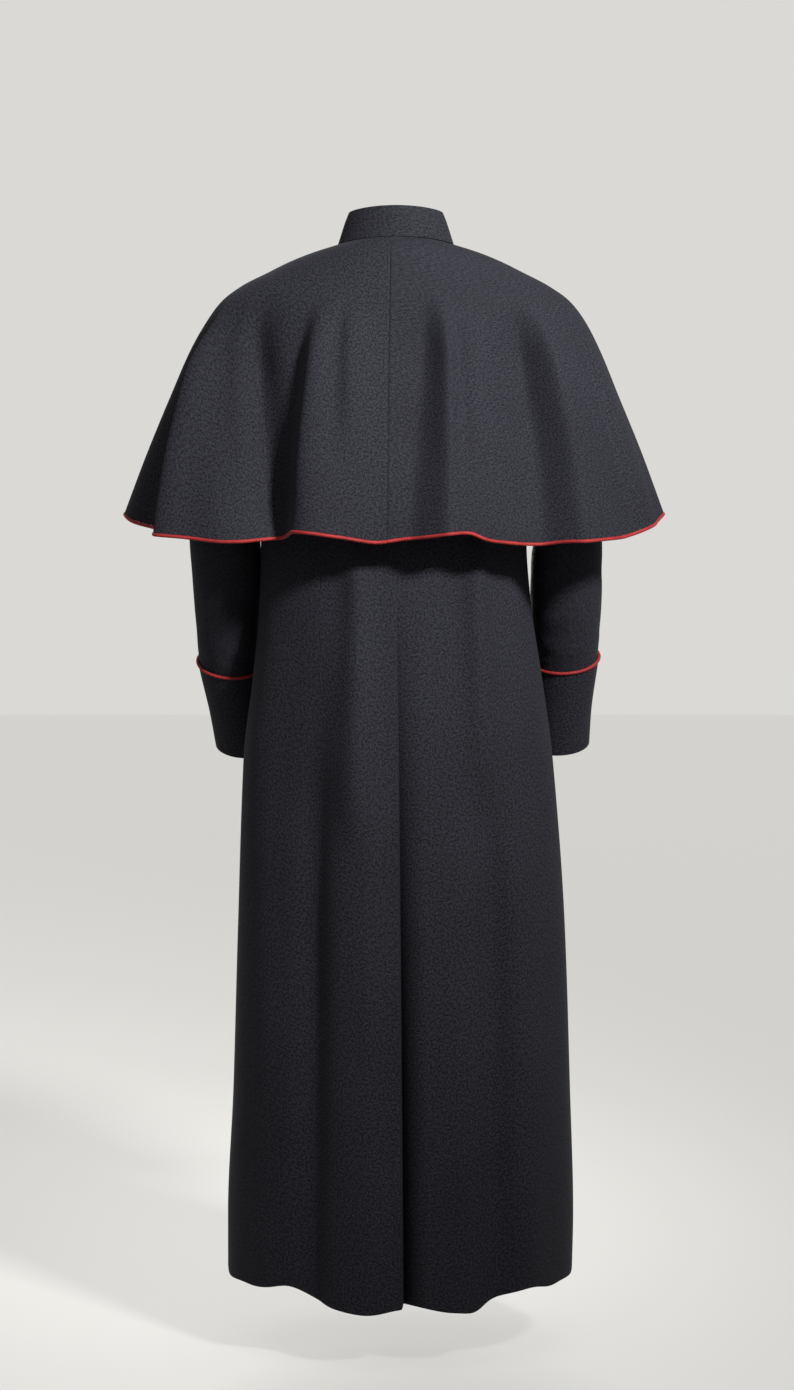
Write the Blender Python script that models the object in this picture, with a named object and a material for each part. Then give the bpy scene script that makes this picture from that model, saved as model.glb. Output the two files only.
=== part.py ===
"""Long black clergy robe with an attached shoulder cape, a standing collar, deep cuffs and red piping.

It keeps the form it has when worn, and it is empty. Units are metres and +Z is up. The front faces -Y and the
wearer's left is +X. The origin is the middle of the neck, level with the collar seam. A level is the height of
the side of a section. Degrees go round a section from the centre back at 0 over the left side at 90 to the
centre front at 180, and the right side is -90.
"""

import bpy
import numpy as np

# Cloth and the gaps between pieces
WALL = 0.002
COLLAR_WALL = 0.003
SEAM = 0.0003

# Each panel of the body is cut in one length, and is split here at two levels into three simpler shells
SPLITS = (-0.42, -0.88)
LENGTHS = ("top", "middle", "skirt")

# Armholes, on the side of the body
ARMHOLE_LEVEL = -0.178
ARMHOLE_HALF_HEIGHT = 0.093
ARMHOLE_HALF_DEGREES = 30.0
AROUND_SLEEVE = 16

# Centre back pleat of the skirt: a groove, steep on the left and easy on the right
PLEAT_STEEP_SIDE = 0.005
PLEAT_EASY_SIDE = 0.018

# Centre front: the left front laps over the right one
LAP = 0.020
LAP_STEP = 0.008
LAP_RAMP = 0.012
LAP_LIFT = WALL + 0.0005

# Buttons down the centre front
BUTTONS = 16
BUTTON_RADIUS = 0.007
BUTTON_THICK = 0.004
BUTTON_TOP_LEVEL = -0.088
BUTTON_STEP = 0.075
BUTTON_SIDES = 10

# Piping cords
CAPE_CORD = 0.0024
CUFF_CORD = 0.0022
CORD_SIDES = 6

# The cape's cord starts this share of the first row below the collar, clear of the lap
CORD_START = 0.6

# The cape's front edges hang this far from the centre, at the neck and at the hem
CAPE_GAP_TOP = 0.007
CAPE_GAP_HEM = 0.034

# The cape's centre back seam leans: how far left of the centre it stands, at the neck and at the hem
CAPE_SEAM_TOP = 0.007
CAPE_SEAM_HEM = 0.0125

# How gently a section rises or drops from its sides to its centre lines, where its table doesn't say
PLAIN_EASE = 9.0

BODY = (
    ("level", "left", "right", "back", "front", "square", "back_up", "front_up"),
    (-0.0160, 0.078, 0.078, 0.0655, 0.0668, 2.0, 0.007, -0.0295),
    (-0.0300, 0.108, 0.108, 0.0760, 0.0762, 2.1, 0.004, -0.0225),
    (-0.0500, 0.148, 0.148, 0.0900, 0.0875, 2.2, 0.002, -0.0130),
    (-0.0680, 0.176, 0.176, 0.1000, 0.0960, 2.4, 0.000, -0.005),
    (-0.0850, 0.190, 0.190, 0.1060, 0.1020, 2.5, 0.000, 0.000),
    (-0.1300, 0.195, 0.195, 0.1150, 0.1130, 2.6, 0.000, 0.000),
    (-0.2000, 0.193, 0.193, 0.1210, 0.1240, 2.6, 0.000, 0.000),
    (-0.2710, 0.188, 0.188, 0.1220, 0.1290, 2.5, 0.000, 0.000),
    (-0.4200, 0.170, 0.170, 0.1120, 0.1220, 2.3, 0.000, 0.000),
    (-0.5050, 0.178, 0.181, 0.1220, 0.1260, 2.2, 0.000, 0.000),
    (-0.6070, 0.195, 0.200, 0.1370, 0.1350, 2.2, 0.000, 0.000),
    (-0.7200, 0.210, 0.216, 0.1480, 0.1440, 2.2, 0.000, 0.000),
    (-0.9500, 0.217, 0.232, 0.1620, 0.1570, 2.3, 0.000, 0.000),
    (-1.1700, 0.222, 0.238, 0.1710, 0.1670, 2.3, 0.000, 0.000),
    (-1.3500, 0.230, 0.2430, 0.1770, 0.1740, 2.3, -0.004, -0.004),
    (-1.4230, 0.230, 0.2415, 0.1790, 0.1760, 2.3, -0.023, -0.023),
)

# Where the centre back line stands and how deep the pleat is
PLEAT = (
    ("level", "line", "depth"),
    (-0.0160, 0.000, 0.000),
    (-0.4400, -0.001, 0.000),
    (-0.6000, -0.003, 0.005),
    (-0.8000, -0.005, 0.010),
    (-1.1000, -0.008, 0.017),
    (-1.4230, -0.011, 0.022),
)

# Soft upright folds of the skirt, with how far each lifts the hem, from the level where that begins
HEM_LIFT_FROM = -1.15
SKIRT_FOLDS = (
    ("degrees", "hem_degrees", "half_width", "depth", "start", "full", "lift"),
    (14.0, 10.0, 8.0, 0.006, -0.50, -1.20, 0.000),
    (28.0, 24.0, 6.0, -0.011, -0.62, -1.30, 0.003),
    (44.0, 37.0, 10.0, 0.001, -0.60, -1.30, 0.021),
    (66.0, 62.0, 6.0, -0.008, -0.66, -1.10, 0.005),
    (112.0, 114.0, 8.0, -0.007, -0.70, -1.30, 0.004),
    (134.0, 136.0, 9.0, 0.007, -0.62, -1.30, 0.008),
    (156.0, 157.0, 8.0, -0.006, -0.60, -1.30, 0.003),
    (-16.0, -13.0, 8.0, 0.006, -0.50, -1.20, 0.001),
    (-34.0, -29.0, 7.0, -0.010, -0.60, -1.30, 0.003),
    (-50.0, -41.0, 12.0, 0.003, -0.60, -1.30, 0.014),
    (-70.0, -66.0, 6.0, -0.008, -0.70, -1.05, 0.003),
    (-110.0, -112.0, 8.0, -0.007, -0.70, -1.30, 0.004),
    (-132.0, -134.0, 9.0, 0.007, -0.62, -1.30, 0.008),
    (-154.0, -156.0, 8.0, -0.006, -0.60, -1.30, 0.003),
)

CAPE = (
    ("level", "left", "right", "back", "front", "square", "back_up", "front_up", "ease"),
    (-0.0134, 0.0795, 0.0795, 0.0675, 0.0700, 2.0, 0.007, -0.027, 9.0),
    (-0.0240, 0.1150, 0.1150, 0.0830, 0.0850, 2.0, 0.006, -0.022, 9.0),
    (-0.0370, 0.1480, 0.1470, 0.0950, 0.0960, 2.0, 0.004, -0.016, 9.0),
    (-0.0520, 0.1780, 0.1770, 0.1050, 0.1040, 2.05, 0.002, -0.010, 9.0),
    (-0.0680, 0.2100, 0.2080, 0.1130, 0.1110, 2.05, 0.000, -0.005, 9.0),
    (-0.0900, 0.2395, 0.2390, 0.1220, 0.1190, 2.1, 0.000, 0.000, 5.0),
    (-0.1170, 0.2600, 0.2600, 0.1300, 0.1290, 2.15, 0.000, 0.000, 3.0),
    (-0.1570, 0.2830, 0.2810, 0.1390, 0.1400, 2.15, 0.000, 0.000, 1.0),
    (-0.2190, 0.3100, 0.3070, 0.1510, 0.1540, 2.1, -0.002, -0.002, 0.5),
    (-0.3020, 0.3440, 0.3410, 0.1670, 0.1700, 2.05, -0.010, -0.009, 0.25),
    (-0.3805, 0.3735, 0.3695, 0.1860, 0.1860, 2.0, -0.0335, -0.0325, 0.15),
)

# Folds of the cape, each from its own place near the shoulders to the hem, with how far it lifts the hem
CAPE_FOLDS = (
    ("degrees", "hem_degrees", "half_width", "depth", "start", "full", "lift"),
    (14.0, 14.0, 7.0, 0.008, -0.09, -0.36, 0.007),
    (29.0, 23.0, 4.2, -0.024, -0.09, -0.375, 0.003),
    (40.0, 34.0, 8.0, 0.010, -0.10, -0.36, -0.004),
    (76.0, 62.0, 5.5, 0.017, -0.08, -0.36, -0.002),
    (86.0, 72.0, 5.0, -0.012, -0.10, -0.38, 0.004),
    (104.0, 108.0, 8.0, -0.014, -0.12, -0.38, 0.004),
    (118.0, 123.0, 8.0, 0.012, -0.12, -0.38, -0.001),
    (136.0, 141.0, 7.0, -0.014, -0.10, -0.38, 0.004),
    (150.0, 156.0, 8.0, 0.010, -0.10, -0.38, 0.000),
    (-13.0, -4.5, 3.6, -0.011, -0.09, -0.34, 0.003),
    (-20.0, -12.5, 5.0, 0.011, -0.09, -0.34, 0.009),
    (-26.0, -19.0, 3.4, -0.006, -0.22, -0.375, -0.003),
    (-44.0, -34.5, 5.0, -0.021, -0.09, -0.375, -0.004),
    (-52.0, -46.0, 7.0, 0.013, -0.10, -0.36, -0.003),
    (-74.0, -66.0, 6.0, -0.009, -0.10, -0.38, 0.002),
    (-84.0, -78.0, 6.0, 0.007, -0.10, -0.38, -0.001),
    (-103.0, -106.0, 8.0, -0.013, -0.12, -0.38, 0.004),
    (-119.0, -122.0, 8.0, 0.012, -0.12, -0.38, -0.001),
    (-135.0, -140.0, 7.0, -0.014, -0.10, -0.38, 0.004),
    (-149.0, -155.0, 8.0, 0.010, -0.10, -0.38, 0.000),
)

COLLAR = (
    ("level", "left", "right", "back", "front", "square", "back_up", "front_up"),
    (0.0325, 0.0645, 0.0645, 0.0610, 0.0625, 2.0, 0.005, -0.022),
    (0.0200, 0.0695, 0.0695, 0.0640, 0.0655, 2.0, 0.006, -0.024),
    (-0.0125, 0.0800, 0.0800, 0.0680, 0.0700, 2.0, 0.007, -0.027),
)

# Sleeves: the outer and the inner side of each section, from just outside the armhole to the end of the cuff
SLEEVE_LEFT = (
    ("outer_x", "outer_y", "outer_z", "inner_x", "inner_y", "inner_z", "half_depth"),
    (0.2140, 0.000, -0.091, 0.2030, 0.000, -0.276, 0.074),
    (0.2420, -0.001, -0.123, 0.2010, -0.001, -0.298, 0.077),
    (0.2620, -0.004, -0.178, 0.1975, -0.004, -0.330, 0.075),
    (0.2750, -0.010, -0.250, 0.1930, -0.010, -0.372, 0.070),
    (0.2830, -0.018, -0.330, 0.1890, -0.020, -0.420, 0.065),
    (0.2860, -0.028, -0.405, 0.1860, -0.032, -0.470, 0.061),
    (0.2820, -0.042, -0.480, 0.1870, -0.048, -0.522, 0.059),
    (0.2785, -0.060, -0.542, 0.1865, -0.066, -0.560, 0.056),
    (0.2750, -0.082, -0.590, 0.1860, -0.084, -0.596, 0.053),
    (0.2615, -0.105, -0.655, 0.1760, -0.106, -0.658, 0.051),
    (0.2528, -0.124, -0.708, 0.1690, -0.125, -0.710, 0.048),
)
SLEEVE_RIGHT = (
    ("outer_x", "outer_y", "outer_z", "inner_x", "inner_y", "inner_z", "half_depth"),
    (0.2140, 0.000, -0.091, 0.2030, 0.000, -0.276, 0.074),
    (0.2420, -0.001, -0.123, 0.2010, -0.001, -0.298, 0.077),
    (0.2610, -0.004, -0.178, 0.1975, -0.004, -0.330, 0.075),
    (0.2730, -0.010, -0.250, 0.1930, -0.010, -0.372, 0.070),
    (0.2810, -0.018, -0.330, 0.1895, -0.020, -0.420, 0.065),
    (0.2850, -0.028, -0.405, 0.1875, -0.032, -0.470, 0.061),
    (0.2865, -0.042, -0.480, 0.1865, -0.048, -0.520, 0.059),
    (0.2850, -0.060, -0.540, 0.1880, -0.066, -0.556, 0.056),
    (0.2820, -0.080, -0.584, 0.1890, -0.082, -0.590, 0.053),
    (0.2740, -0.102, -0.650, 0.1860, -0.104, -0.653, 0.051),
    (0.2712, -0.121, -0.705, 0.1835, -0.122, -0.707, 0.048),
)
CUFF_FROM = 9


def smooth(table, name, at):
    """The value of one column at the given levels, on a curve that never overshoots its rows."""
    rows = np.array(table[1:], float)
    rows = rows[np.argsort(rows[:, 0])]
    x = rows[:, 0]
    y = rows[:, table[0].index(name)]
    step = np.diff(y) / np.diff(x)
    both = step[1:] * step[:-1]
    total = step[1:] + step[:-1]
    inside = np.where(both > 0, 2 * both / np.where(total == 0, 1, total), 0)
    slope = np.concatenate([step[:1], inside, step[-1:]])
    i = np.clip(np.searchsorted(x, at) - 1, 0, len(x) - 2)
    width = x[i + 1] - x[i]
    t = (at - x[i]) / width
    rest = 1 - t
    start = (1 + 2 * t) * rest**2 * y[i] + t * rest**2 * width * slope[i]
    end = t**2 * (3 - 2 * t) * y[i + 1] - t**2 * rest * width * slope[i + 1]
    return start + end


def eased(t):
    t = np.clip(t, 0, 1)
    return t * t * (3 - 2 * t)


def section(table, level, degrees):
    """Points of a plain section and the level direction that points out of it."""
    turn = np.radians(degrees)
    s = np.sin(turn)
    c = np.cos(turn)
    power = 2 / smooth(table, "square", level)
    half = np.where(s > 0, smooth(table, "left", level), smooth(table, "right", level))
    deep = np.where(c > 0, smooth(table, "back", level), smooth(table, "front", level))
    rise = np.where(c > 0, smooth(table, "back_up", level), smooth(table, "front_up", level))
    ease = smooth(table, "ease", level) if "ease" in table[0] else PLAIN_EASE
    rise = rise * c * c * (1 + ease) / (c * c + ease)
    x = half * np.sign(s) * np.abs(s) ** power
    y = deep * np.sign(c) * np.abs(c) ** power
    out = np.stack([s / half, c / deep, 0 * s], axis=-1)
    out /= np.linalg.norm(out, axis=-1, keepdims=True)
    return np.stack([x, y, level + rise], axis=-1), out


def swell(folds, level, degrees, name="depth"):
    """How far the folds move the cloth at each point."""
    names = folds[0]
    total = 0 * degrees
    for row in folds[1:]:
        fold = dict(zip(names, row))
        t = np.clip((fold["start"] - level) / (fold["start"] - fold["full"]), 0, 1)
        middle = fold["degrees"] + (fold["hem_degrees"] - fold["degrees"]) * t
        away = (degrees - middle + 180) % 360 - 180
        total = total + fold[name] * eased(t) * np.exp(-((away / fold["half_width"]) ** 2))
    return total


def body(level, degrees):
    """The outer face of the robe's body, with the centre back pleat and the folds of the skirt."""
    points, out = section(BODY, level, degrees)
    off_line = points[..., 0] - smooth(PLEAT, "line", level)
    side = np.where(off_line > 0, PLEAT_STEEP_SIDE, PLEAT_EASY_SIDE)
    groove = np.clip(1 - (off_line / side) ** 2, 0, 1) ** 2
    groove = np.where(np.cos(np.radians(degrees)) > 0, groove, 0)
    away = swell(SKIRT_FOLDS, level, degrees) - groove * smooth(PLEAT, "depth", level)
    points = points + out * away[..., None]
    low = eased((HEM_LIFT_FROM - level) / (HEM_LIFT_FROM - BODY[-1][0]))
    points[..., 2] += swell(SKIRT_FOLDS, level, degrees, "lift") * low
    return points


def cape(level, degrees):
    """The outer face of the cape, with its folds and the hem that they lift."""
    points, out = section(CAPE, level, degrees)
    points = points + out * swell(CAPE_FOLDS, level, degrees)[..., None]
    low = eased((-0.25 - level) / 0.14)
    points[..., 2] += swell(CAPE_FOLDS, level, degrees, "lift") * low
    return points


def collar(level, degrees):
    return section(COLLAR, level, degrees)[0]


def outward(surface, level, degrees):
    """Unit vectors square to a surface, pointing out of the garment."""
    across = surface(level, degrees + 0.4) - surface(level, degrees - 0.4)
    down = surface(level - 0.0015, degrees) - surface(level + 0.0015, degrees)
    out = np.cross(across, down)
    return out / np.linalg.norm(out, axis=-1, keepdims=True)


def degrees_at(table, level, x, back=True):
    """Where on a section the cloth stands at x, near the centre back or the centre front."""
    half = np.where(x > 0, smooth(table, "left", level), smooth(table, "right", level))
    turn = np.degrees(np.arcsin((np.abs(x) / half) ** (smooth(table, "square", level) / 2)))
    return np.sign(x) * turn if back else 180 - np.sign(x) * turn


def clear_scene():
    for thing in list(bpy.data.objects):
        bpy.data.objects.remove(thing, do_unlink=True)


def material(name, colour, roughness):
    made = bpy.data.materials.new(name)
    made.use_nodes = True
    shader = made.node_tree.nodes["Principled BSDF"]
    shader.inputs["Base Color"].default_value = (*colour, 1)
    shader.inputs["Roughness"].default_value = roughness
    return made


def make(name, points, faces, look):
    """One object from points and triangles, turned so that its faces point out."""
    points = np.asarray(points, float).reshape(-1, 3)
    faces = np.asarray(faces, int)
    corner = points[faces]
    volume = np.einsum("ij,ij->i", corner[:, 0], np.cross(corner[:, 1], corner[:, 2])).sum() / 6
    if volume < 0:
        faces = faces[:, ::-1]
    mesh = bpy.data.meshes.new(name)
    mesh.from_pydata(points.tolist(), [], faces.tolist())
    mesh.update()
    thing = bpy.data.objects.new(name, mesh)
    thing.data.materials.append(material(name, *look))
    bpy.context.scene.collection.objects.link(thing)
    print(name, len(faces), "triangles,", round(abs(volume) * 1e6, 1), "cm3")
    return thing


def quads(a, b, c, d):
    """Two triangles for each set of four corners, always with the same diagonal."""
    four = [np.ravel(k) for k in (a, b, c, d)]
    first = np.stack([four[0], four[1], four[2]], axis=1)
    second = np.stack([four[0], four[2], four[3]], axis=1)
    return np.concatenate([first, second])


def cloth(name, outer, inner, look, tube=False):
    """A closed wall between an outer and an inner grid of points. A tube joins its last column to its first."""
    rows, columns = outer.shape[:2]
    index = np.arange(rows * columns).reshape(rows, columns)
    if tube:
        index = np.concatenate([index, index[:, :1]], axis=1)
    under = index + rows * columns
    faces = [
        quads(index[:-1, :-1], index[:-1, 1:], index[1:, 1:], index[1:, :-1]),
        quads(under[:-1, :-1], under[:-1, 1:], under[1:, 1:], under[1:, :-1])[:, ::-1],
        quads(index[0, :-1], under[0, :-1], under[0, 1:], index[0, 1:]),
        quads(index[-1, :-1], index[-1, 1:], under[-1, 1:], under[-1, :-1]),
    ]
    if not tube:
        faces.append(quads(index[:-1, 0], index[1:, 0], under[1:, 0], under[:-1, 0]))
        faces.append(quads(index[:-1, -1], under[:-1, -1], under[1:, -1], index[1:, -1]))
    points = np.concatenate([outer.reshape(-1, 3), inner.reshape(-1, 3)])
    return make(name, points, np.concatenate(faces), look)


def drawn_back(grid, column, towards, by):
    """Moves one edge column of a grid back along its rows, to leave the gap of a seam."""
    way = grid[:, towards] - grid[:, column]
    grid[:, column] += by * way / np.linalg.norm(way, axis=-1, keepdims=True)


def panel(name, surface, level, degrees, look, wall=WALL):
    """A piece of cloth between two seams, its outer face on the surface."""
    outer = surface(level, degrees)
    inner = outer - outward(surface, level, degrees) * wall
    for grid in (outer, inner):
        drawn_back(grid, 0, 1, SEAM / 2)
        drawn_back(grid, -1, -2, SEAM / 2)
    return cloth(name, outer, inner, look)


def body_panel(name, level, degrees, look, lift=None, fold=None):
    """A panel of the body in its three lengths, with a seam's gap between them.

    At the bottom of the pleat the edge column's wall turns with the side of the pleat that it belongs to.
    """
    rows = level[:, None] + 0 * degrees
    out = outward(body, rows, degrees)
    if fold is not None:
        edge, beside = fold
        out[:, edge] = out[:, beside]
    outer = body(rows, degrees)
    if lift is not None:
        outer = outer + out * lift[..., None]
    inner = outer - out * WALL
    for grid in (outer, inner):
        drawn_back(grid, 0, 1, SEAM / 2)
        drawn_back(grid, -1, -2, SEAM / 2)
    ends = [0, *[int(np.argmin(np.abs(level - split))) for split in SPLITS], len(level) - 1]
    for length, first, last in zip(LENGTHS, ends[:-1], ends[1:]):
        grids = [grid[first:last + 1].copy() for grid in (outer, inner)]
        for grid in grids:
            turned = grid.swapaxes(0, 1)
            if first > 0:
                drawn_back(turned, 0, 1, SEAM / 2)
            if last < len(level) - 1:
                drawn_back(turned, -1, -2, SEAM / 2)
        cloth(f"{name}_{length}", *grids, look)


def spread(start, end, count):
    """Evenly spaced columns between two edges that are given for each row."""
    share = np.linspace(0, 1, count)
    return start[:, None] + (end - start)[:, None] * share


def cord(name, path, radius, look, loop=False, end=None):
    """A round cord along a path of points, closed to a ring or with flat ends, the last one square to end."""
    path = np.asarray(path)
    if loop:
        along = np.roll(path, -1, axis=0) - np.roll(path, 1, axis=0)
    else:
        along = np.gradient(path, axis=0)
    along /= np.linalg.norm(along, axis=1, keepdims=True)
    if end is not None:
        along[-1] = end
    across = np.cross(along, (0, 0, 1))
    weak = np.linalg.norm(across, axis=1) < 0.5
    across[weak] = np.cross(along[weak], (0, 1, 0))
    for i in range(1, len(across)):
        across[i] = across[i - 1] - along[i] * (across[i - 1] @ along[i])
        across[i] /= np.linalg.norm(across[i])
    across[0] /= np.linalg.norm(across[0])
    up = np.cross(along, across)
    turn = 2 * np.pi * (np.arange(CORD_SIDES) + 0.5) / CORD_SIDES
    rings = path[:, None] + radius * (
        np.cos(turn)[None, :, None] * across[:, None] + np.sin(turn)[None, :, None] * up[:, None]
    )
    count = len(path)
    index = np.arange(count * CORD_SIDES).reshape(count, CORD_SIDES)
    index = np.concatenate([index, index[:, :1]], axis=1)
    if loop:
        index = np.concatenate([index, index[:1]], axis=0)
    faces = [quads(index[:-1, :-1], index[:-1, 1:], index[1:, 1:], index[1:, :-1])]
    if not loop:
        first = index[0, :-1]
        last = index[-1, :-1]
        fan = np.arange(1, CORD_SIDES - 1)
        faces.append(np.stack([np.full(len(fan), first[0]), first[fan + 1], first[fan]], axis=1))
        faces.append(np.stack([np.full(len(fan), last[0]), last[fan], last[fan + 1]], axis=1))
    return make(name, rings, np.concatenate(faces), look)


def sleeve_rings(table, side, phi):
    """Rings of a sleeve round the angles phi, from the armhole's edge to the end of the cuff."""
    level = ARMHOLE_LEVEL + ARMHOLE_HALF_HEIGHT * np.cos(phi)
    edge = body(level, side * (90 - ARMHOLE_HALF_DEGREES * np.sin(phi)))
    inwards = edge.mean(axis=0) - edge
    inwards /= np.linalg.norm(inwards, axis=1, keepdims=True)
    rings = [edge + SEAM * inwards]
    rows = np.array(table[1:])
    outer = rows[:, 0:3] * (side, 1, 1)
    inner = rows[:, 3:6] * (side, 1, 1)
    middle = (outer + inner) / 2
    along = np.gradient(middle, axis=0)
    for i, depth in enumerate(rows[:, 6]):
        long_way = (outer[i] - inner[i]) / 2
        back_way = np.cross(along[i], long_way)
        back_way *= np.sign(back_way[1]) * depth / np.linalg.norm(back_way)
        ring = middle[i] + np.cos(phi)[:, None] * long_way + np.sin(phi)[:, None] * back_way
        rings.append(ring)
    return np.array(rings)


def sleeve_pieces(label, table, side, cloth_look, cord_look):
    """A sleeve, the deep cuff that lies over its end, and the piping on the cuff's upper edge."""
    phi = -side * 2 * np.pi * np.arange(AROUND_SLEEVE) / AROUND_SLEEVE
    rings = sleeve_rings(table, side, phi)
    across = np.roll(rings, -1, axis=1) - np.roll(rings, 1, axis=1)
    down = np.gradient(rings, axis=0)
    out = np.cross(across, down)
    out /= np.linalg.norm(out, axis=-1, keepdims=True)
    cloth("sleeve_" + label, rings, rings - out * WALL, cloth_look, tube=True)
    over = rings[CUFF_FROM:]
    over_out = out[CUFF_FROM:]
    cloth("cuff_" + label, over + over_out * (SEAM + WALL), over + over_out * SEAM, cloth_look, tube=True)
    up = over[0] - over[1]
    up /= np.linalg.norm(up, axis=1, keepdims=True)
    path = over[0] + over_out[0] * (2 * SEAM + CUFF_CORD) + up * (SEAM + CUFF_CORD)
    cord("cuff_piping_" + label, path, CUFF_CORD, cord_look, loop=True)


def body_levels():
    """Levels of the body's rows: the shoulder, round the armhole, and down to the hem."""
    shoulder = [BODY[1][0], -0.030, -0.048, -0.067]
    turn = np.pi * np.arange(AROUND_SLEEVE // 2 + 1) / (AROUND_SLEEVE // 2)
    armhole = ARMHOLE_LEVEL + ARMHOLE_HALF_HEIGHT * np.cos(turn)
    below = [-0.34, -0.42, -0.50, -0.60, -0.72, -0.88, -1.06, -1.25, -1.423]
    notch = np.concatenate([0 * np.array(shoulder), np.sin(turn), 0 * np.array(below)])
    return np.concatenate([shoulder, armhole, below]), ARMHOLE_HALF_DEGREES * notch


def body_panels(look):
    level, notch = body_levels()
    line = smooth(PLEAT, "line", level)
    fold = degrees_at(BODY, level, line)
    near_left = [degrees_at(BODY, level, line + x) for x in (0.5 * PLEAT_STEEP_SIDE, PLEAT_STEEP_SIDE, 0.010)]
    near_right = [degrees_at(BODY, level, line - x) for x in (0.5 * PLEAT_EASY_SIDE, PLEAT_EASY_SIDE, 0.026)]
    left = np.column_stack([fold, *near_left, spread(near_left[-1], 90 - notch, 13)[:, 1:]])
    right = np.column_stack([fold, *near_right, spread(near_right[-1], notch - 90, 13)[:, 1:]])[:, ::-1]
    body_panel("back_left", level, left, look, fold=(0, 1))
    body_panel("back_right", level, right, look, fold=(-1, -2))

    # The left front runs past the centre over the right one, and both share the columns of the lap
    under = [degrees_at(BODY, level, -x, back=False) - 360 for x in (LAP_STEP, LAP)]
    middle = np.full(len(level), -180.0)
    right = np.column_stack([middle, *under, spread(under[-1], notch * 0 - 90 - notch, 11)[:, 1:]])
    body_panel("front_right", level, right, look)
    near = [degrees_at(BODY, level, x, back=False) for x in (LAP_RAMP + 0.004, 0.004)]
    past = [middle + 360, *[k + 360 for k in under]]
    left = np.column_stack([spread(90 + notch, near[0], 11)[:, :-1], *near, *past])
    lift = np.zeros(left.shape)
    lift[:, -4:] = LAP_LIFT
    body_panel("front_left", level, left, look, lift=lift)
    centre = body(level, 180 + 0 * level)
    return level, centre + outward(body, level, 180 + 0 * level) * LAP_LIFT


def cape_pieces(cloth_look, cord_look):
    """The two halves of the cape, and the piping down their front edges and along the hem."""
    level = np.array([CAPE[1][0], -0.023, -0.040, -0.062, -0.090, -0.125, -0.172, -0.228, -0.286, -0.342, CAPE[-1][0]])
    down = (level - level[0]) / (level[-1] - level[0])
    gap = CAPE_GAP_TOP + (CAPE_GAP_HEM - CAPE_GAP_TOP) * down
    seam = degrees_at(CAPE, level, CAPE_SEAM_TOP + (CAPE_SEAM_HEM - CAPE_SEAM_TOP) * down)
    for side, label in ((1, "left"), (-1, "right")):
        front = degrees_at(CAPE, level, gap, back=False)
        bend = np.full(len(level), 84.0)
        degrees = np.column_stack([spread(side * seam, bend, 25)[:, :-1], spread(bend, front, 14)])
        if side < 0:
            degrees = -degrees[:, ::-1]
        rows = level[:, None] + 0 * degrees
        half = panel("cape_" + label, cape, rows, degrees, cloth_look)
        points = np.array([v.co for v in half.data.vertices]).reshape(2, len(level), -1, 3)
        middle = points.mean(axis=0)
        if side < 0:
            middle = middle[:, ::-1]
        away = SEAM + CAPE_CORD
        edge = middle[:, -1] - middle[:, -2]
        edge = middle[:, -1] + away * edge / np.linalg.norm(edge, axis=1, keepdims=True)
        low = middle[-1] - middle[-2]
        low = middle[-1] + away * low / np.linalg.norm(low, axis=1, keepdims=True)
        corner = edge[-1] + low[-1] - middle[-1, -1]
        edge[0] += CORD_START * (edge[1] - edge[0])
        path = np.concatenate([edge, [corner], low[::-1]])
        cord("cape_piping_" + label, path, CAPE_CORD, cord_look, end=(-side, 0, 0))


def collar_band(look):
    level = np.array([0.0325, 0.0285, 0.0200, 0.0030, -0.0125])
    ends = np.degrees(SEAM / 0.065)
    degrees = np.linspace(-180 + ends, 180 - ends, 41)[None, :] + 0 * level[:, None]
    panel("collar", collar, level[:, None] + 0 * degrees, degrees, look, wall=COLLAR_WALL)


def buttons(rows, line, look):
    """Small domed buttons on the lap of the left front, whose centre line is given row by row."""
    profile = ((1.0, 0.0), (1.0, 0.4), (0.6, 0.85))
    turn = 2 * np.pi * np.arange(BUTTON_SIDES) / BUTTON_SIDES
    ring = np.arange(BUTTON_SIDES)
    after = np.roll(ring, -1)
    for number in range(BUTTONS):
        level = BUTTON_TOP_LEVEL - number * BUTTON_STEP
        on_line = [np.array([np.interp(-k, -rows, line[:, i]) for i in range(3)])
                   for k in (level + BUTTON_RADIUS, level, level - BUTTON_RADIUS)]
        across = np.array((1.0, 0.0, 0.0))
        up = on_line[0] - on_line[2]
        up /= np.linalg.norm(up)
        out = np.cross(across, up)
        out *= -np.sign(out[1]) / np.linalg.norm(out)
        foot = on_line[1] + out * 2 * SEAM
        spokes = np.cos(turn)[:, None] * across + np.sin(turn)[:, None] * up
        rings = [foot + spokes * BUTTON_RADIUS * r + out * BUTTON_THICK * h for r, h in profile]
        points = np.concatenate([*rings, [foot], [foot + out * BUTTON_THICK]])
        low = len(profile) * BUTTON_SIDES
        faces = [quads(ring + i * BUTTON_SIDES, after + i * BUTTON_SIDES,
                       after + (i + 1) * BUTTON_SIDES, ring + (i + 1) * BUTTON_SIDES)
                 for i in range(len(profile) - 1)]
        faces.append(np.stack([after, ring, np.full(BUTTON_SIDES, low)], axis=1))
        top = ring + low - BUTTON_SIDES
        faces.append(np.stack([top, after + low - BUTTON_SIDES, np.full(BUTTON_SIDES, low + 1)], axis=1))
        make(f"button_{number + 1:02d}", points, np.concatenate(faces), look)


BLACK_WOOL = ((0.016, 0.017, 0.022), 0.85)
RED_SATIN = ((0.42, 0.035, 0.035), 0.5)
BLACK_HORN = ((0.012, 0.012, 0.014), 0.4)

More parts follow.
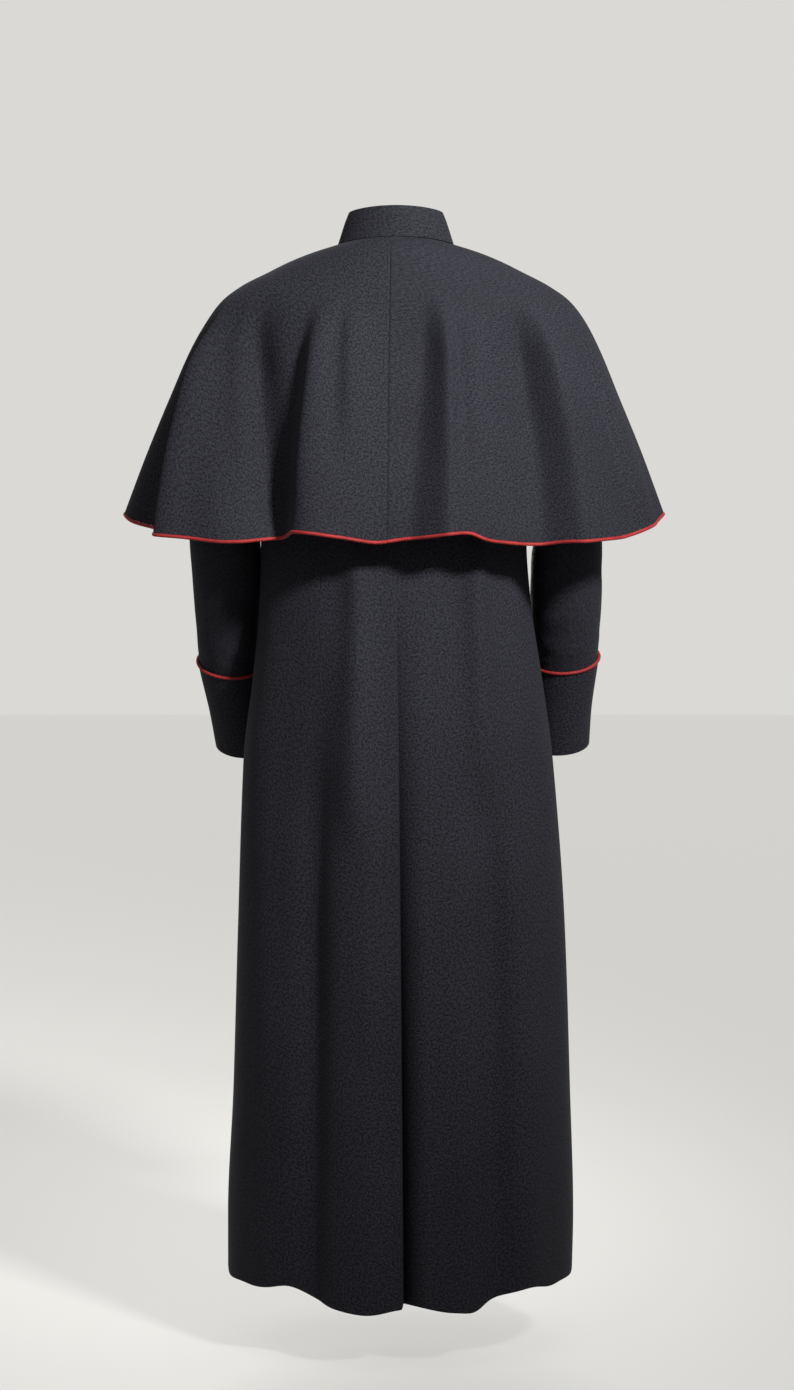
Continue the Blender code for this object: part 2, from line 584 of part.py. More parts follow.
clear_scene()
collar_band(BLACK_WOOL)
cape_pieces(BLACK_WOOL, RED_SATIN)
lap_rows, lap_line = body_panels(BLACK_WOOL)
sleeve_pieces("left", SLEEVE_LEFT, 1, BLACK_WOOL, RED_SATIN)
sleeve_pieces("right", SLEEVE_RIGHT, -1, BLACK_WOOL, RED_SATIN)
buttons(lap_rows, lap_line, BLACK_HORN)
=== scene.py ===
# %% [markdown]
# # A long black clergy robe with a shoulder cape
# The robe keeps the form it has when worn, and it is empty. This file gives it its looks: it loads the plain solids,
# lays a finer cloth over each of them, and adds weave, sheen, cords, a floor, soft light and a camera.
# Units are metres, +Z is up, and the front faces -Y, so this camera, which looks along -Y, sees the back.

import bpy
import numpy as np
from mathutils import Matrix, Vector


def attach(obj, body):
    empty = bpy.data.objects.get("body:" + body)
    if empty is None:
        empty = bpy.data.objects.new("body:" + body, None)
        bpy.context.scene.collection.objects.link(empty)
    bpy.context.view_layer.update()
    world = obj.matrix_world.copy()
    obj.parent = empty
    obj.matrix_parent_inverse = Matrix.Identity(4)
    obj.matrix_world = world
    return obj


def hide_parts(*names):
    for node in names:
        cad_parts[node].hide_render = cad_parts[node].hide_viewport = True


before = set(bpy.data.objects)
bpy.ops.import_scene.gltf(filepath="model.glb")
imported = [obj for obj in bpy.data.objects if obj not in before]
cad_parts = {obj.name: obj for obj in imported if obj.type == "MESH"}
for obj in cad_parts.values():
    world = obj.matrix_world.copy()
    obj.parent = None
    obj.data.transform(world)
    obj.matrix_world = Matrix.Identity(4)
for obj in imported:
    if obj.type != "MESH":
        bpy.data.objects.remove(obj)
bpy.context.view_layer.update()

# %% [markdown]
# # Camera
# A studio photograph of a long garment is taken from far off with a long lens, held level, so that its sides stay
# upright. The camera could be tilted down to show the hem, but then the sides would lean together. The lens is
# shifted instead, which moves the picture and leaves the upright lines alone.

# %% Camera
CAMERA_AWAY = 4.6
CAMERA_ASIDE = -0.0015
CAMERA_LEVEL = -0.378
LENS = 86.4
SENSOR = 36
FRAME_LONG_SIDE = 1390
HORIZON_ABOVE_MIDDLE = 185


def turned_to(thing, point):
    """Turns a lamp or camera so that it looks at a point."""
    way = Vector(point) - thing.location
    thing.rotation_euler = way.to_track_quat("-Z", "Y").to_euler()


lens = bpy.data.cameras.new("view")
lens.lens = LENS
lens.sensor_fit = "AUTO"
lens.sensor_width = SENSOR
lens.shift_y = -HORIZON_ABOVE_MIDDLE / FRAME_LONG_SIDE
camera = bpy.data.objects.new("view", lens)
camera.location = (CAMERA_ASIDE, CAMERA_AWAY, CAMERA_LEVEL)
turned_to(camera, (CAMERA_ASIDE, 0, CAMERA_LEVEL))
bpy.context.scene.collection.objects.link(camera)
bpy.context.scene.camera = camera
print("camera", tuple(camera.location))

# %% [markdown]
# # Light and floor
# The main lamp hangs high on the camera's side of the robe, at the right of the picture. It is half a metre wide, so
# its shadows have soft edges, and it is aimed narrowly at the cape, so the skirt darkens towards the hem. A sun lamp
# would be simpler, but it would light cape and hem alike. Three weaker lamps, at the left, above, and facing the
# robe's front, keep the black cloth from closing up. The floor gives off some light of its own, because lamps alone
# would leave bright patches on it.

# %% Light
LAMPS = (
    ("name", "place", "aim", "watts", "width", "spread", "tint"),
    ("key", (-1.72, 2.64, 1.45), (0, 0, -0.15), 29, 0.5, 40, (1.0, 0.985, 0.96)),
    ("fill", (2.2, 3.2, -0.2), (0, 0, -0.7), 3, 1.4, 120, (0.93, 0.96, 1.0)),
    ("top", (-0.3, 0.8, 1.9), (0, 0, -0.2), 4, 1.2, 120, (0.96, 0.98, 1.0)),
    ("front", (0.3, -3.6, -0.35), (0, 0, -0.55), 8, 1.2, 40, (1.0, 0.99, 0.97)),
)
for name, place, aim, watts, width, spread_degrees, tint in LAMPS[1:]:
    lamp = bpy.data.lights.new(name, "AREA")
    lamp.energy = watts
    lamp.size = width
    lamp.spread = np.radians(spread_degrees)
    lamp.color = tint
    holder = bpy.data.objects.new(name, lamp)
    holder.location = place
    holder.visible_camera = False
    turned_to(holder, aim)
    bpy.context.scene.collection.objects.link(holder)
    print("lamp", name, watts, "W")

SKY_COLOUR = (0.80, 0.79, 0.76, 1)
SKY_STRENGTH = 0.88
sky = bpy.data.worlds.new("studio")
sky.use_nodes = True
sky.node_tree.nodes["Background"].inputs["Color"].default_value = SKY_COLOUR
sky.node_tree.nodes["Background"].inputs["Strength"].default_value = SKY_STRENGTH
bpy.context.scene.world = sky
bpy.context.scene.view_settings.view_transform = "Standard"

# %% Floor
FLOOR_LEVEL = -1.52
FLOOR_HALF = 14
FLOOR_COLOUR = (0.20, 0.197, 0.19, 1)
FLOOR_GLOW = (0.46, 0.455, 0.44, 1)


def floor_plate(level, half):
    """A wide pale floor, only for the picture."""
    mesh = bpy.data.meshes.new("floor")
    corners = [(-half, -half, level), (half, -half, level), (half, half, level), (-half, half, level)]
    mesh.from_pydata(corners, [], [(0, 1, 2, 3)])
    plate = bpy.data.objects.new("floor", mesh)
    bpy.context.scene.collection.objects.link(plate)
    look = bpy.data.materials.new("pale_floor")
    look.use_nodes = True
    shader = look.node_tree.nodes["Principled BSDF"]
    shader.inputs["Base Color"].default_value = FLOOR_COLOUR
    shader.inputs["Emission Color"].default_value = FLOOR_GLOW
    shader.inputs["Emission Strength"].default_value = 1.0
    shader.inputs["Roughness"].default_value = 0.75
    mesh.materials.append(look)
    return plate


floor = floor_plate(FLOOR_LEVEL, FLOOR_HALF)
print("floor at", FLOOR_LEVEL)

# %% [markdown]
# # Curves from short tables
# Worn cloth has no flat drawing to start from. Each piece is described instead by level sections: how far the cloth
# stands out to the left, right, back and front at a few heights. A curve through the rows gives every height between
# them. It must never overshoot, or the cloth would bulge between two rows, so its slope at each row is the harmonic
# mean of its neighbours' slopes.

# %% A curve that never overshoots
def smooth(table, name, at):
    """The value of one column of a table at any level, on a curve through its rows."""
    rows = np.array(table[1:], float)
    rows = rows[np.argsort(rows[:, 0])]
    x = rows[:, 0]
    y = rows[:, table[0].index(name)]
    step = np.diff(y) / np.diff(x)
    both = step[1:] * step[:-1]
    total = step[1:] + step[:-1]
    inside = np.where(both > 0, 2 * both / np.where(total == 0, 1, total), 0)
    slope = np.concatenate([step[:1], inside, step[-1:]])
    i = np.clip(np.searchsorted(x, at) - 1, 0, len(x) - 2)
    width = x[i + 1] - x[i]
    t = (at - x[i]) / width
    rest = 1 - t
    start = (1 + 2 * t) * rest**2 * y[i] + t * rest**2 * width * slope[i]
    end = t**2 * (3 - 2 * t) * y[i + 1] - t**2 * rest * width * slope[i + 1]
    return start + end


def eased(t):
    """Grows from 0 to 1 with a soft start and a soft end."""
    t = np.clip(t, 0, 1)
    return t * t * (3 - 2 * t)


# %% A level section
PLAIN_EASE = 9.0


def section(table, level, degrees):
    """Points round a section, 0 degrees at the centre back and 90 on the wearer's left, and the way out of it."""
    turn = np.radians(degrees)
    s = np.sin(turn)
    c = np.cos(turn)
    power = 2 / smooth(table, "square", level)
    half = np.where(s > 0, smooth(table, "left", level), smooth(table, "right", level))
    deep = np.where(c > 0, smooth(table, "back", level), smooth(table, "front", level))
    rise = np.where(c > 0, smooth(table, "back_up", level), smooth(table, "front_up", level))
    ease = smooth(table, "ease", level) if "ease" in table[0] else PLAIN_EASE
    rise = rise * c * c * (1 + ease) / (c * c + ease)
    x = half * np.sign(s) * np.abs(s) ** power
    y = deep * np.sign(c) * np.abs(c) ** power
    out = np.stack([s / half, c / deep, 0 * s], axis=-1)
    out /= np.linalg.norm(out, axis=-1, keepdims=True)
    return np.stack([x, y, level + rise], axis=-1), out


def degrees_at(table, level, x, back=True):
    """Where on a section the cloth stands at x, near the centre back or the centre front."""
    half = np.where(x > 0, smooth(table, "left", level), smooth(table, "right", level))
    turn = np.degrees(np.arcsin((np.abs(x) / half) ** (smooth(table, "square", level) / 2)))
    return np.sign(x) * turn if back else 180 - np.sign(x) * turn


# %% [markdown]
# Folds one by one
# A fold in heavy wool starts as nothing near the shoulder and grows towards the hem. Each one is a row in a table.
# degrees and hem_degrees are its place round the body where it starts and at the hem. left_width and right_width say
# how far it spreads to each side, in degrees, and narrows scales both at the hem. depth is how far it moves the cloth
# out, or in where it is negative. It begins at the level start, is fully grown at full, and fades out just above the
# level gone, where -9 means never. lift raises or lowers the hem. A bell curve across the fold keeps it soft.
# Simulation could make folds too, but not these folds in these places, so they are listed one by one.

# %% Folds
FOLD_FADE = 0.10
NEAR_DEGREES = 0.25
NEAR_LEVEL = 0.001


def swell(folds, hem, level, degrees, name="depth"):
    """How far the folds move the cloth at each point."""
    total = 0 * degrees
    for row in folds[1:]:
        fold = dict(zip(folds[0], row))
        along = np.clip((fold["start"] - level) / (fold["start"] - hem), 0, 1)
        middle = fold["degrees"] + (fold["hem_degrees"] - fold["degrees"]) * along
        away = (degrees - middle + 180) % 360 - 180
        width = np.where(away > 0, fold["left_width"], fold["right_width"]) * (1 + (fold["narrows"] - 1) * along)
        grown = eased((fold["start"] - level) / (fold["start"] - fold["full"]))
        grown = grown * eased((level - fold["gone"]) / FOLD_FADE)
        total = total + fold[name] * grown * np.exp(-((away / width) ** 2))
    return total


def outward(surface, level, degrees):
    """Unit vectors square to a surface, pointing out of the garment."""
    across = surface(level, degrees + NEAR_DEGREES) - surface(level, degrees - NEAR_DEGREES)
    down = surface(level - NEAR_LEVEL, degrees) - surface(level + NEAR_LEVEL, degrees)
    out = np.cross(across, down)
    return out / np.linalg.norm(out, axis=-1, keepdims=True)


# %% [markdown]
# # Wool cloth
# The robe is a matt black wool twill. Its threads run about two to the millimetre, in fine slanting ribs, under a
# short nap that catches light at the edges of a fold. The pattern could be an image, but waves and noise cost nothing
# and never blur. They read the cloth's own UV map, which is in metres of cloth, so the weave keeps its scale and
# bends with the folds. Sheen on the shader gives the nap.

# %% Wool material
def node(tree, kind, **values):
    """One shader node with its values set."""
    made = tree.nodes.new(kind)
    for key, value in values.items():
        if hasattr(made, key):
            setattr(made, key, value)
        else:
            made.inputs[key.replace("_", " ")].default_value = value
    return made


def wool(name, dark, light, sheen, rough):
    """Fine twill between a dark and a light colour, with nap, uneven dye and a soft sheen."""
    look = bpy.data.materials.new(name)
    look.use_nodes = True
    tree = look.node_tree
    shader = tree.nodes["Principled BSDF"]
    place = node(tree, "ShaderNodeTexCoord")
    ribs = node(tree, "ShaderNodeTexWave", wave_type="BANDS", bands_direction="DIAGONAL", Scale=330.0,
                Distortion=1.2, Detail=2.0)
    threads = node(tree, "ShaderNodeTexWave", wave_type="BANDS", bands_direction="X", Scale=620.0, Distortion=0.8)
    nap = node(tree, "ShaderNodeTexNoise", Scale=330.0, Detail=2.0, Roughness=0.85)
    dye = node(tree, "ShaderNodeTexNoise", Scale=5.0, Detail=3.0, Roughness=0.55)
    for pattern in (ribs, threads, nap, dye):
        tree.links.new(place.outputs["UV"], pattern.inputs["Vector"])
    weave = node(tree, "ShaderNodeMath", operation="ADD")
    tree.links.new(ribs.outputs["Fac"], weave.inputs[0])
    tree.links.new(threads.outputs["Fac"], weave.inputs[1])
    heather = node(tree, "ShaderNodeMapRange")
    heather.inputs["From Min"].default_value = 0.41
    heather.inputs["From Max"].default_value = 0.59
    tree.links.new(nap.outputs["Fac"], heather.inputs["Value"])
    fuzz = node(tree, "ShaderNodeMath", operation="MULTIPLY_ADD")
    fuzz.inputs[1].default_value = 0.2
    tree.links.new(weave.outputs[0], fuzz.inputs[0])
    tree.links.new(heather.outputs["Result"], fuzz.inputs[2])
    ramp = node(tree, "ShaderNodeValToRGB")
    ramp.color_ramp.elements[0].position = 0.05
    ramp.color_ramp.elements[0].color = (*dark, 1)
    ramp.color_ramp.elements[1].position = 1.0
    ramp.color_ramp.elements[1].color = (*light, 1)
    half = node(tree, "ShaderNodeMath", operation="MULTIPLY")
    half.inputs[1].default_value = 0.72
    tree.links.new(fuzz.outputs[0], half.inputs[0])
    tree.links.new(half.outputs[0], ramp.inputs["Fac"])
    shade = node(tree, "ShaderNodeMapRange")
    shade.inputs["From Min"].default_value = 0.3
    shade.inputs["From Max"].default_value = 0.7
    shade.inputs["To Min"].default_value = 0.88
    shade.inputs["To Max"].default_value = 1.1
    tree.links.new(dye.outputs["Fac"], shade.inputs["Value"])
    tint = node(tree, "ShaderNodeVectorMath", operation="SCALE")
    tree.links.new(ramp.outputs["Color"], tint.inputs[0])
    tree.links.new(shade.outputs["Result"], tint.inputs["Scale"])
    tree.links.new(tint.outputs["Vector"], shader.inputs["Base Color"])
    bump = node(tree, "ShaderNodeBump", Strength=0.35, Distance=0.0004)
    tree.links.new(fuzz.outputs[0], bump.inputs["Height"])
    tree.links.new(bump.outputs["Normal"], shader.inputs["Normal"])
    shader.inputs["Roughness"].default_value = rough
    shader.inputs["Specular IOR Level"].default_value = 0.06
    shader.inputs["Sheen Weight"].default_value = sheen
    shader.inputs["Sheen Roughness"].default_value = 0.45
    shader.inputs["Sheen Tint"].default_value = (0.75, 0.8, 1.0, 1)
    print("material", name)
    return look


BLACK_WOOL = wool("black_wool", (0.0016, 0.0017, 0.0023), (0.0128, 0.0130, 0.0180), sheen=0.012, rough=0.82)

# %% [markdown]
# # Red piping
# Piping is a thin cord wrapped in a bias strip of red satin and caught in the edge. Satin shines along its threads,
# and the wrap shows as faint slanting ridges. The cord itself is a real tube, so only the ridges are in the material.

# %% Satin material
def satin(name, dark, light):
    """Bias-wrapped satin between a dark and a light colour, with slanting ridges and a little wear."""
    look = bpy.data.materials.new(name)
    look.use_nodes = True
    tree = look.node_tree
    shader = tree.nodes["Principled BSDF"]
    place = node(tree, "ShaderNodeTexCoord")
    wrap = node(tree, "ShaderNodeTexWave", wave_type="BANDS", bands_direction="DIAGONAL", Scale=160.0,
                Distortion=1.5, Detail=2.0)
    wear = node(tree, "ShaderNodeTexNoise", Scale=60.0, Detail=4.0)
    for pattern in (wrap, wear):
        tree.links.new(place.outputs["UV"], pattern.inputs["Vector"])
    both = node(tree, "ShaderNodeMath", operation="MULTIPLY_ADD")
    both.inputs[1].default_value = 0.4
    tree.links.new(wrap.outputs["Fac"], both.inputs[0])
    tree.links.new(wear.outputs["Fac"], both.inputs[2])
    ramp = node(tree, "ShaderNodeValToRGB")
    ramp.color_ramp.elements[0].position = 0.35
    ramp.color_ramp.elements[0].color = (*dark, 1)
    ramp.color_ramp.elements[1].position = 0.95
    ramp.color_ramp.elements[1].color = (*light, 1)
    tree.links.new(both.outputs[0], ramp.inputs["Fac"])
    tree.links.new(ramp.outputs["Color"], shader.inputs["Base Color"])
    bump = node(tree, "ShaderNodeBump", Strength=0.3, Distance=0.0003)
    tree.links.new(both.outputs[0], bump.inputs["Height"])
    tree.links.new(bump.outputs["Normal"], shader.inputs["Normal"])
    shader.inputs["Roughness"].default_value = 0.62
    shader.inputs["Specular IOR Level"].default_value = 0.10
    shader.inputs["Sheen Weight"].default_value = 0.05
    shader.inputs["Sheen Roughness"].default_value = 0.3
    print("material", name)
    return look


RED_SATIN = satin("red_satin", (0.075, 0.0045, 0.005), (0.16, 0.012, 0.012))

# %% [markdown]
# # From grids of points to cloth
# Every piece is a grid: rows from top to bottom, columns round the body. A second grid lies one wall inside the
# first, and strips join the two along the edges, so the cloth has two faces and real thickness. The Solidify
# modifier could add the wall too, but it would not keep the seams closed where two pieces meet at an angle. JOIN is
# the hair's breadth that is left between two panels, so narrow that no light shows through. SEAM is the wider gap
# that a sleeve, a cuff, the collar's two ends and the buttons keep, as the solids do.

# %% A cloth piece
WALL = 0.002
SEAM = 0.0003
JOIN = 0.00006
CLOTH_CREASE = 55
CORD_CREASE = 60


def finished(name, points, faces, uvs, look, replaced, crease):
    """Makes the object, smooths it up to the crease angle, lays its UV map, hangs it on the root and hides the solids
    it replaces.
    """
    mesh = bpy.data.meshes.new(name)
    mesh.from_pydata(points.tolist(), [], faces)
    layer = mesh.uv_layers.new(name="cloth")
    corners = np.empty(len(mesh.loops), np.int32)
    mesh.loops.foreach_get("vertex_index", corners)
    layer.data.foreach_set("uv", uvs[corners].astype(np.float32).ravel())
    mesh.polygons.foreach_set("use_smooth", np.ones(len(mesh.polygons), bool))
    mesh.set_sharp_from_angle(angle=np.radians(crease))
    mesh.materials.append(look)
    piece = bpy.data.objects.new(name, mesh)
    bpy.context.scene.collection.objects.link(piece)
    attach(piece, "root")
    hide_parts(*replaced)
    print(name, len(points), "points")
    return piece


def measured(grid):
    """A UV map in metres of cloth for a grid of points."""
    across = np.linalg.norm(np.diff(grid, axis=1), axis=-1)
    down = np.linalg.norm(np.diff(grid, axis=0), axis=-1)
    u = np.concatenate([np.zeros((len(grid), 1)), np.cumsum(across, axis=1)], axis=1)
    v = np.concatenate([np.zeros((1, grid.shape[1])), np.cumsum(down, axis=0)], axis=0)
    return np.stack([u, v], axis=-1)


def shell(name, outer, inner, look, replaced):
    """Two grids joined along their four edges. A tube's last column repeats its first one."""
    rows, columns = outer.shape[:2]
    index = np.arange(rows * columns).reshape(rows, columns)
    under = index + rows * columns
    top = np.concatenate([index[:1], under[:1]])
    low = np.concatenate([under[-1:], index[-1:]])
    first = np.stack([under[:, 0], index[:, 0]], axis=1)
    last = np.stack([index[:, -1], under[:, -1]], axis=1)
    parts = [index, under[:, ::-1], low, top[::-1], first, last]
    faces = []
    for grid in parts:
        four = (grid[:-1, :-1], grid[:-1, 1:], grid[1:, 1:], grid[1:, :-1])
        faces.append(np.stack([k.ravel() for k in four], axis=1))
    points = np.concatenate([outer.reshape(-1, 3), inner.reshape(-1, 3)])
    lay = measured(outer)
    uvs = np.concatenate([lay.reshape(-1, 2), measured(inner).reshape(-1, 2)])
    return finished(name, points, np.concatenate(faces).tolist(), uvs, look, replaced, CLOTH_CREASE)


def spread(start, end, count):
    """Evenly spaced columns between two edges that are given for each row."""
    share = np.linspace(0, 1, count)
    return start[:, None] + (end - start)[:, None] * share


def panel_grids(surface, level, degrees, wall=WALL, lift=0.0):
    """The outer and inner grids of a panel, with its two side edges drawn back by a hair, as a sewn seam closes."""
    out = outward(surface, level, degrees)
    outer = surface(level, degrees) + out * lift
    inner = outer - out * wall
    for grid in (outer, inner):
        for column, towards in ((0, 1), (-1, -2)):
            way = grid[:, towards] - grid[:, column]
            grid[:, column] += JOIN / 2 * way / np.linalg.norm(way, axis=-1, keepdims=True)
    return outer, inner


# %% A cord
def cord(name, path, radius, look, replaced, loop=False, end=None, sides=10):
    """A round cord along a path of points, closed to a ring or with flat ends."""
    if loop:
        along = np.roll(path, -1, axis=0) - np.roll(path, 1, axis=0)
    else:
        along = np.gradient(path, axis=0)
    along /= np.linalg.norm(along, axis=1, keepdims=True)
    if end is not None:
        along[-1] = end
    across = np.cross(along, (0, 0, 1))
    weak = np.linalg.norm(across, axis=1) < 0.5
    across[weak] = np.cross(along[weak], (0, 1, 0))
    across[0] /= np.linalg.norm(across[0])
    for i in range(1, len(across)):
        across[i] = across[i - 1] - along[i] * (across[i - 1] @ along[i])
        across[i] /= np.linalg.norm(across[i])
    up = np.cross(along, across)
    turn = 2 * np.pi * np.arange(sides + 1) / sides
    rings = path[:, None] + radius * (
        np.cos(turn)[None, :, None] * across[:, None] + np.sin(turn)[None, :, None] * up[:, None]
    )
    if loop:
        rings = np.concatenate([rings, rings[:1]])
    count = len(rings)
    index = np.arange(count * (sides + 1)).reshape(count, sides + 1)
    four = (index[:-1, 1:], index[:-1, :-1], index[1:, :-1], index[1:, 1:])
    faces = np.stack([k.ravel() for k in four], axis=1).tolist()
    if not loop:
        faces.append(index[0, :-1].tolist())
        faces.append(index[-1, :-1][::-1].tolist())
    uvs = measured(rings).reshape(-1, 2)
    return finished(name, rings.reshape(-1, 3), faces, uvs, look, replaced, CORD_CREASE)


# %% [markdown]
# # The body of the robe
# A robe like this is cut as two backs and two fronts that run from the shoulder to the hem without a waist seam. The
# skirt widens below the waist, and the centre back holds a pleat whose left edge lies over its right one. The body is
# one tube of sections, cut into four panels at the centre back, the sides and the centre front. A notch at each side
# is the armhole.

# %% Sections of the body
BODY = (
    ("level", "left", "right", "back", "front", "square", "back_up", "front_up"),
    (-0.0160, 0.078, 0.078, 0.0655, 0.0668, 2.0, 0.007, -0.0295),
    (-0.0300, 0.108, 0.108, 0.0760, 0.0762, 2.1, 0.004, -0.0225),
    (-0.0500, 0.148, 0.148, 0.0900, 0.0875, 2.2, 0.002, -0.0130),
    (-0.0680, 0.176, 0.176, 0.1000, 0.0960, 2.4, 0.000, -0.005),
    (-0.0850, 0.190, 0.190, 0.1060, 0.1020, 2.5, 0.000, 0.000),
    (-0.1300, 0.195, 0.195, 0.1150, 0.1130, 2.6, 0.000, 0.000),
    (-0.2000, 0.193, 0.193, 0.1210, 0.1240, 2.6, 0.000, 0.000),
    (-0.2710, 0.188, 0.188, 0.1220, 0.1290, 2.5, 0.000, 0.000),
    (-0.4200, 0.186, 0.180, 0.1120, 0.1220, 2.3, 0.000, 0.000),
    (-0.5050, 0.188, 0.186, 0.1220, 0.1260, 2.2, 0.000, 0.000),
    (-0.6070, 0.197, 0.201, 0.1370, 0.1350, 2.2, 0.000, 0.000),
    (-0.7200, 0.210, 0.216, 0.1480, 0.1440, 2.2, 0.000, 0.000),
    (-0.9500, 0.217, 0.232, 0.1620, 0.1570, 2.3, 0.000, 0.000),
    (-1.1700, 0.222, 0.238, 0.1710, 0.1670, 2.3, 0.000, 0.000),
    (-1.3500, 0.230, 0.2430, 0.1770, 0.1740, 2.3, -0.004, -0.004),
    (-1.4230, 0.230, 0.2415, 0.1790, 0.1760, 2.3, -0.023, -0.023),
)
PLEAT = (
    ("level", "line", "depth"),
    (-0.0160, 0.000, 0.000),
    (-0.4400, -0.001, 0.000),
    (-0.6000, -0.003, 0.007),
    (-0.8000, -0.005, 0.016),
    (-1.1000, -0.008, 0.027),
    (-1.4230, -0.011, 0.034),
)
PLEAT_STEEP_SIDE = 0.004
PLEAT_EASY_SIDE = 0.034

# %% Folds of the skirt
HEM_LIFT_FROM = -1.15
SKIRT_FOLDS = (
    ("degrees", "hem_degrees", "left_width", "right_width", "depth", "start", "full", "gone", "lift", "narrows"),
    (10.0, 8.0, 16.0, 6.0, 0.010, -0.46, -0.80, -9.0, 0.000, 1.0),
    (14.0, 11.0, 6.0, 5.0, 0.012, -0.38, -0.46, -0.85, 0.000, 1.0),
    (-35.0, -20.0, 6.0, 7.0, 0.012, -0.38, -0.46, -0.80, 0.000, 1.0),
    (-4.4, -4.4, 7.0, 7.0, 0.000, -0.60, -1.30, -9.0, 0.010, 1.0),
    (18.0, 18.0, 8.0, 8.0, 0.000, -0.60, -1.30, -9.0, 0.005, 1.0),
    (-23.0, -23.0, 5.0, 5.0, 0.000, -0.60, -1.30, -9.0, -0.005, 1.0),
    (-48.0, -48.0, 14.0, 12.0, 0.000, -0.60, -1.30, -9.0, 0.005, 1.0),
    (29.0, 26.0, 9.0, 6.0, -0.018, -0.50, -1.00, -9.0, 0.003, 1.0),
    (44.0, 37.0, 10.0, 10.0, 0.001, -0.60, -1.30, -9.0, 0.021, 1.0),
    (44.0, 42.0, 16.0, 15.0, -0.008, -0.40, -0.70, -9.0, 0.000, 1.0),
    (58.0, 50.0, 8.0, 8.0, 0.003, -0.60, -1.10, -9.0, 0.006, 1.0),
    (64.0, 62.0, 12.0, 10.0, -0.002, -0.66, -1.10, -9.0, 0.006, 1.0),
    (96.0, 98.0, 5.0, 7.0, 0.004, -0.70, -1.20, -9.0, 0.000, 1.0),
    (112.0, 114.0, 8.0, 8.0, -0.007, -0.70, -1.30, -9.0, 0.004, 1.0),
    (134.0, 136.0, 9.0, 9.0, 0.007, -0.62, -1.30, -9.0, 0.008, 1.0),
    (156.0, 157.0, 8.0, 8.0, -0.006, -0.60, -1.30, -9.0, 0.003, 1.0),
    (-31.0, -30.0, 6.0, 6.5, -0.010, -0.56, -0.95, -9.0, 0.001, 1.0),
    (-34.0, -29.0, 7.0, 7.0, -0.001, -0.60, -1.30, -9.0, 0.003, 1.0),
    (-42.0, -41.0, 7.0, 10.0, 0.008, -0.56, -1.00, -9.0, 0.000, 1.0),
    (-50.0, -41.0, 12.0, 12.0, 0.001, -0.60, -1.30, -9.0, 0.014, 1.0),
    (-70.0, -66.0, 10.0, 12.0, -0.002, -0.70, -1.05, -9.0, 0.004, 1.0),
    (-95.0, -98.0, 7.0, 5.0, 0.004, -0.70, -1.20, -9.0, 0.000, 1.0),
    (-110.0, -112.0, 8.0, 8.0, -0.007, -0.70, -1.30, -9.0, 0.004, 1.0),
    (-132.0, -134.0, 9.0, 9.0, 0.007, -0.62, -1.30, -9.0, 0.008, 1.0),
    (-154.0, -156.0, 8.0, 8.0, -0.006, -0.60, -1.30, -9.0, 0.003, 1.0),
)


def body(level, degrees):
    """The outer face of the body, with the centre back pleat and the folds of the skirt."""
    points, out = section(BODY, level, degrees)
    off_line = points[..., 0] - smooth(PLEAT, "line", level)
    side = np.where(off_line > 0, PLEAT_STEEP_SIDE, PLEAT_EASY_SIDE)
    groove = np.clip(1 - np.abs(off_line) / side, 0, 1) ** 2
    groove = np.where(np.cos(np.radians(degrees)) > 0, groove, 0)
    away = swell(SKIRT_FOLDS, BODY[-1][0], level, degrees) - groove * smooth(PLEAT, "depth", level)
    points = points + out * away[..., None]
    low = eased((HEM_LIFT_FROM - level) / (HEM_LIFT_FROM - BODY[-1][0]))
    points[..., 2] += swell(SKIRT_FOLDS, BODY[-1][0], level, degrees, "lift") * low
    return points


# %% [markdown]
# # Four panels, the armholes and the front lap
# A tailor cuts flat cloth, sews it and lets it hang. Here the hanging tube comes first, and it is divided where the
# seams run. Rows of points lie closer together round the armholes, where each panel steps back from the side seam to
# leave room for the sleeve. Columns lie closest at the pleat, which bends sharply. The left front lies over the right
# one, so its last columns are lifted by a little more than one wall.

# %% The rows of the panels
ARMHOLE_LEVEL = -0.178
ARMHOLE_HALF_HEIGHT = 0.093
ARMHOLE_HALF_DEGREES = 30.0
NECK_ROWS = 14
ARMHOLE_ROWS = 33
LOWER_ROWS = 96


def body_rows():
    """Levels from the neck to the hem, closer together round the armhole, and how far the armhole cuts in."""
    neck = np.linspace(BODY[1][0], ARMHOLE_LEVEL + ARMHOLE_HALF_HEIGHT, NECK_ROWS)[:-1]
    turn = np.linspace(0, np.pi, ARMHOLE_ROWS)
    hole = ARMHOLE_LEVEL + ARMHOLE_HALF_HEIGHT * np.cos(turn)
    below = np.linspace(hole[-1], BODY[-1][0], LOWER_ROWS)[1:]
    notch = np.concatenate([0 * neck, np.sin(turn), 0 * below])
    return np.concatenate([neck, hole, below]), ARMHOLE_HALF_DEGREES * notch


levels, notch = body_rows()
rows = levels[:, None]
print("rows", len(levels))

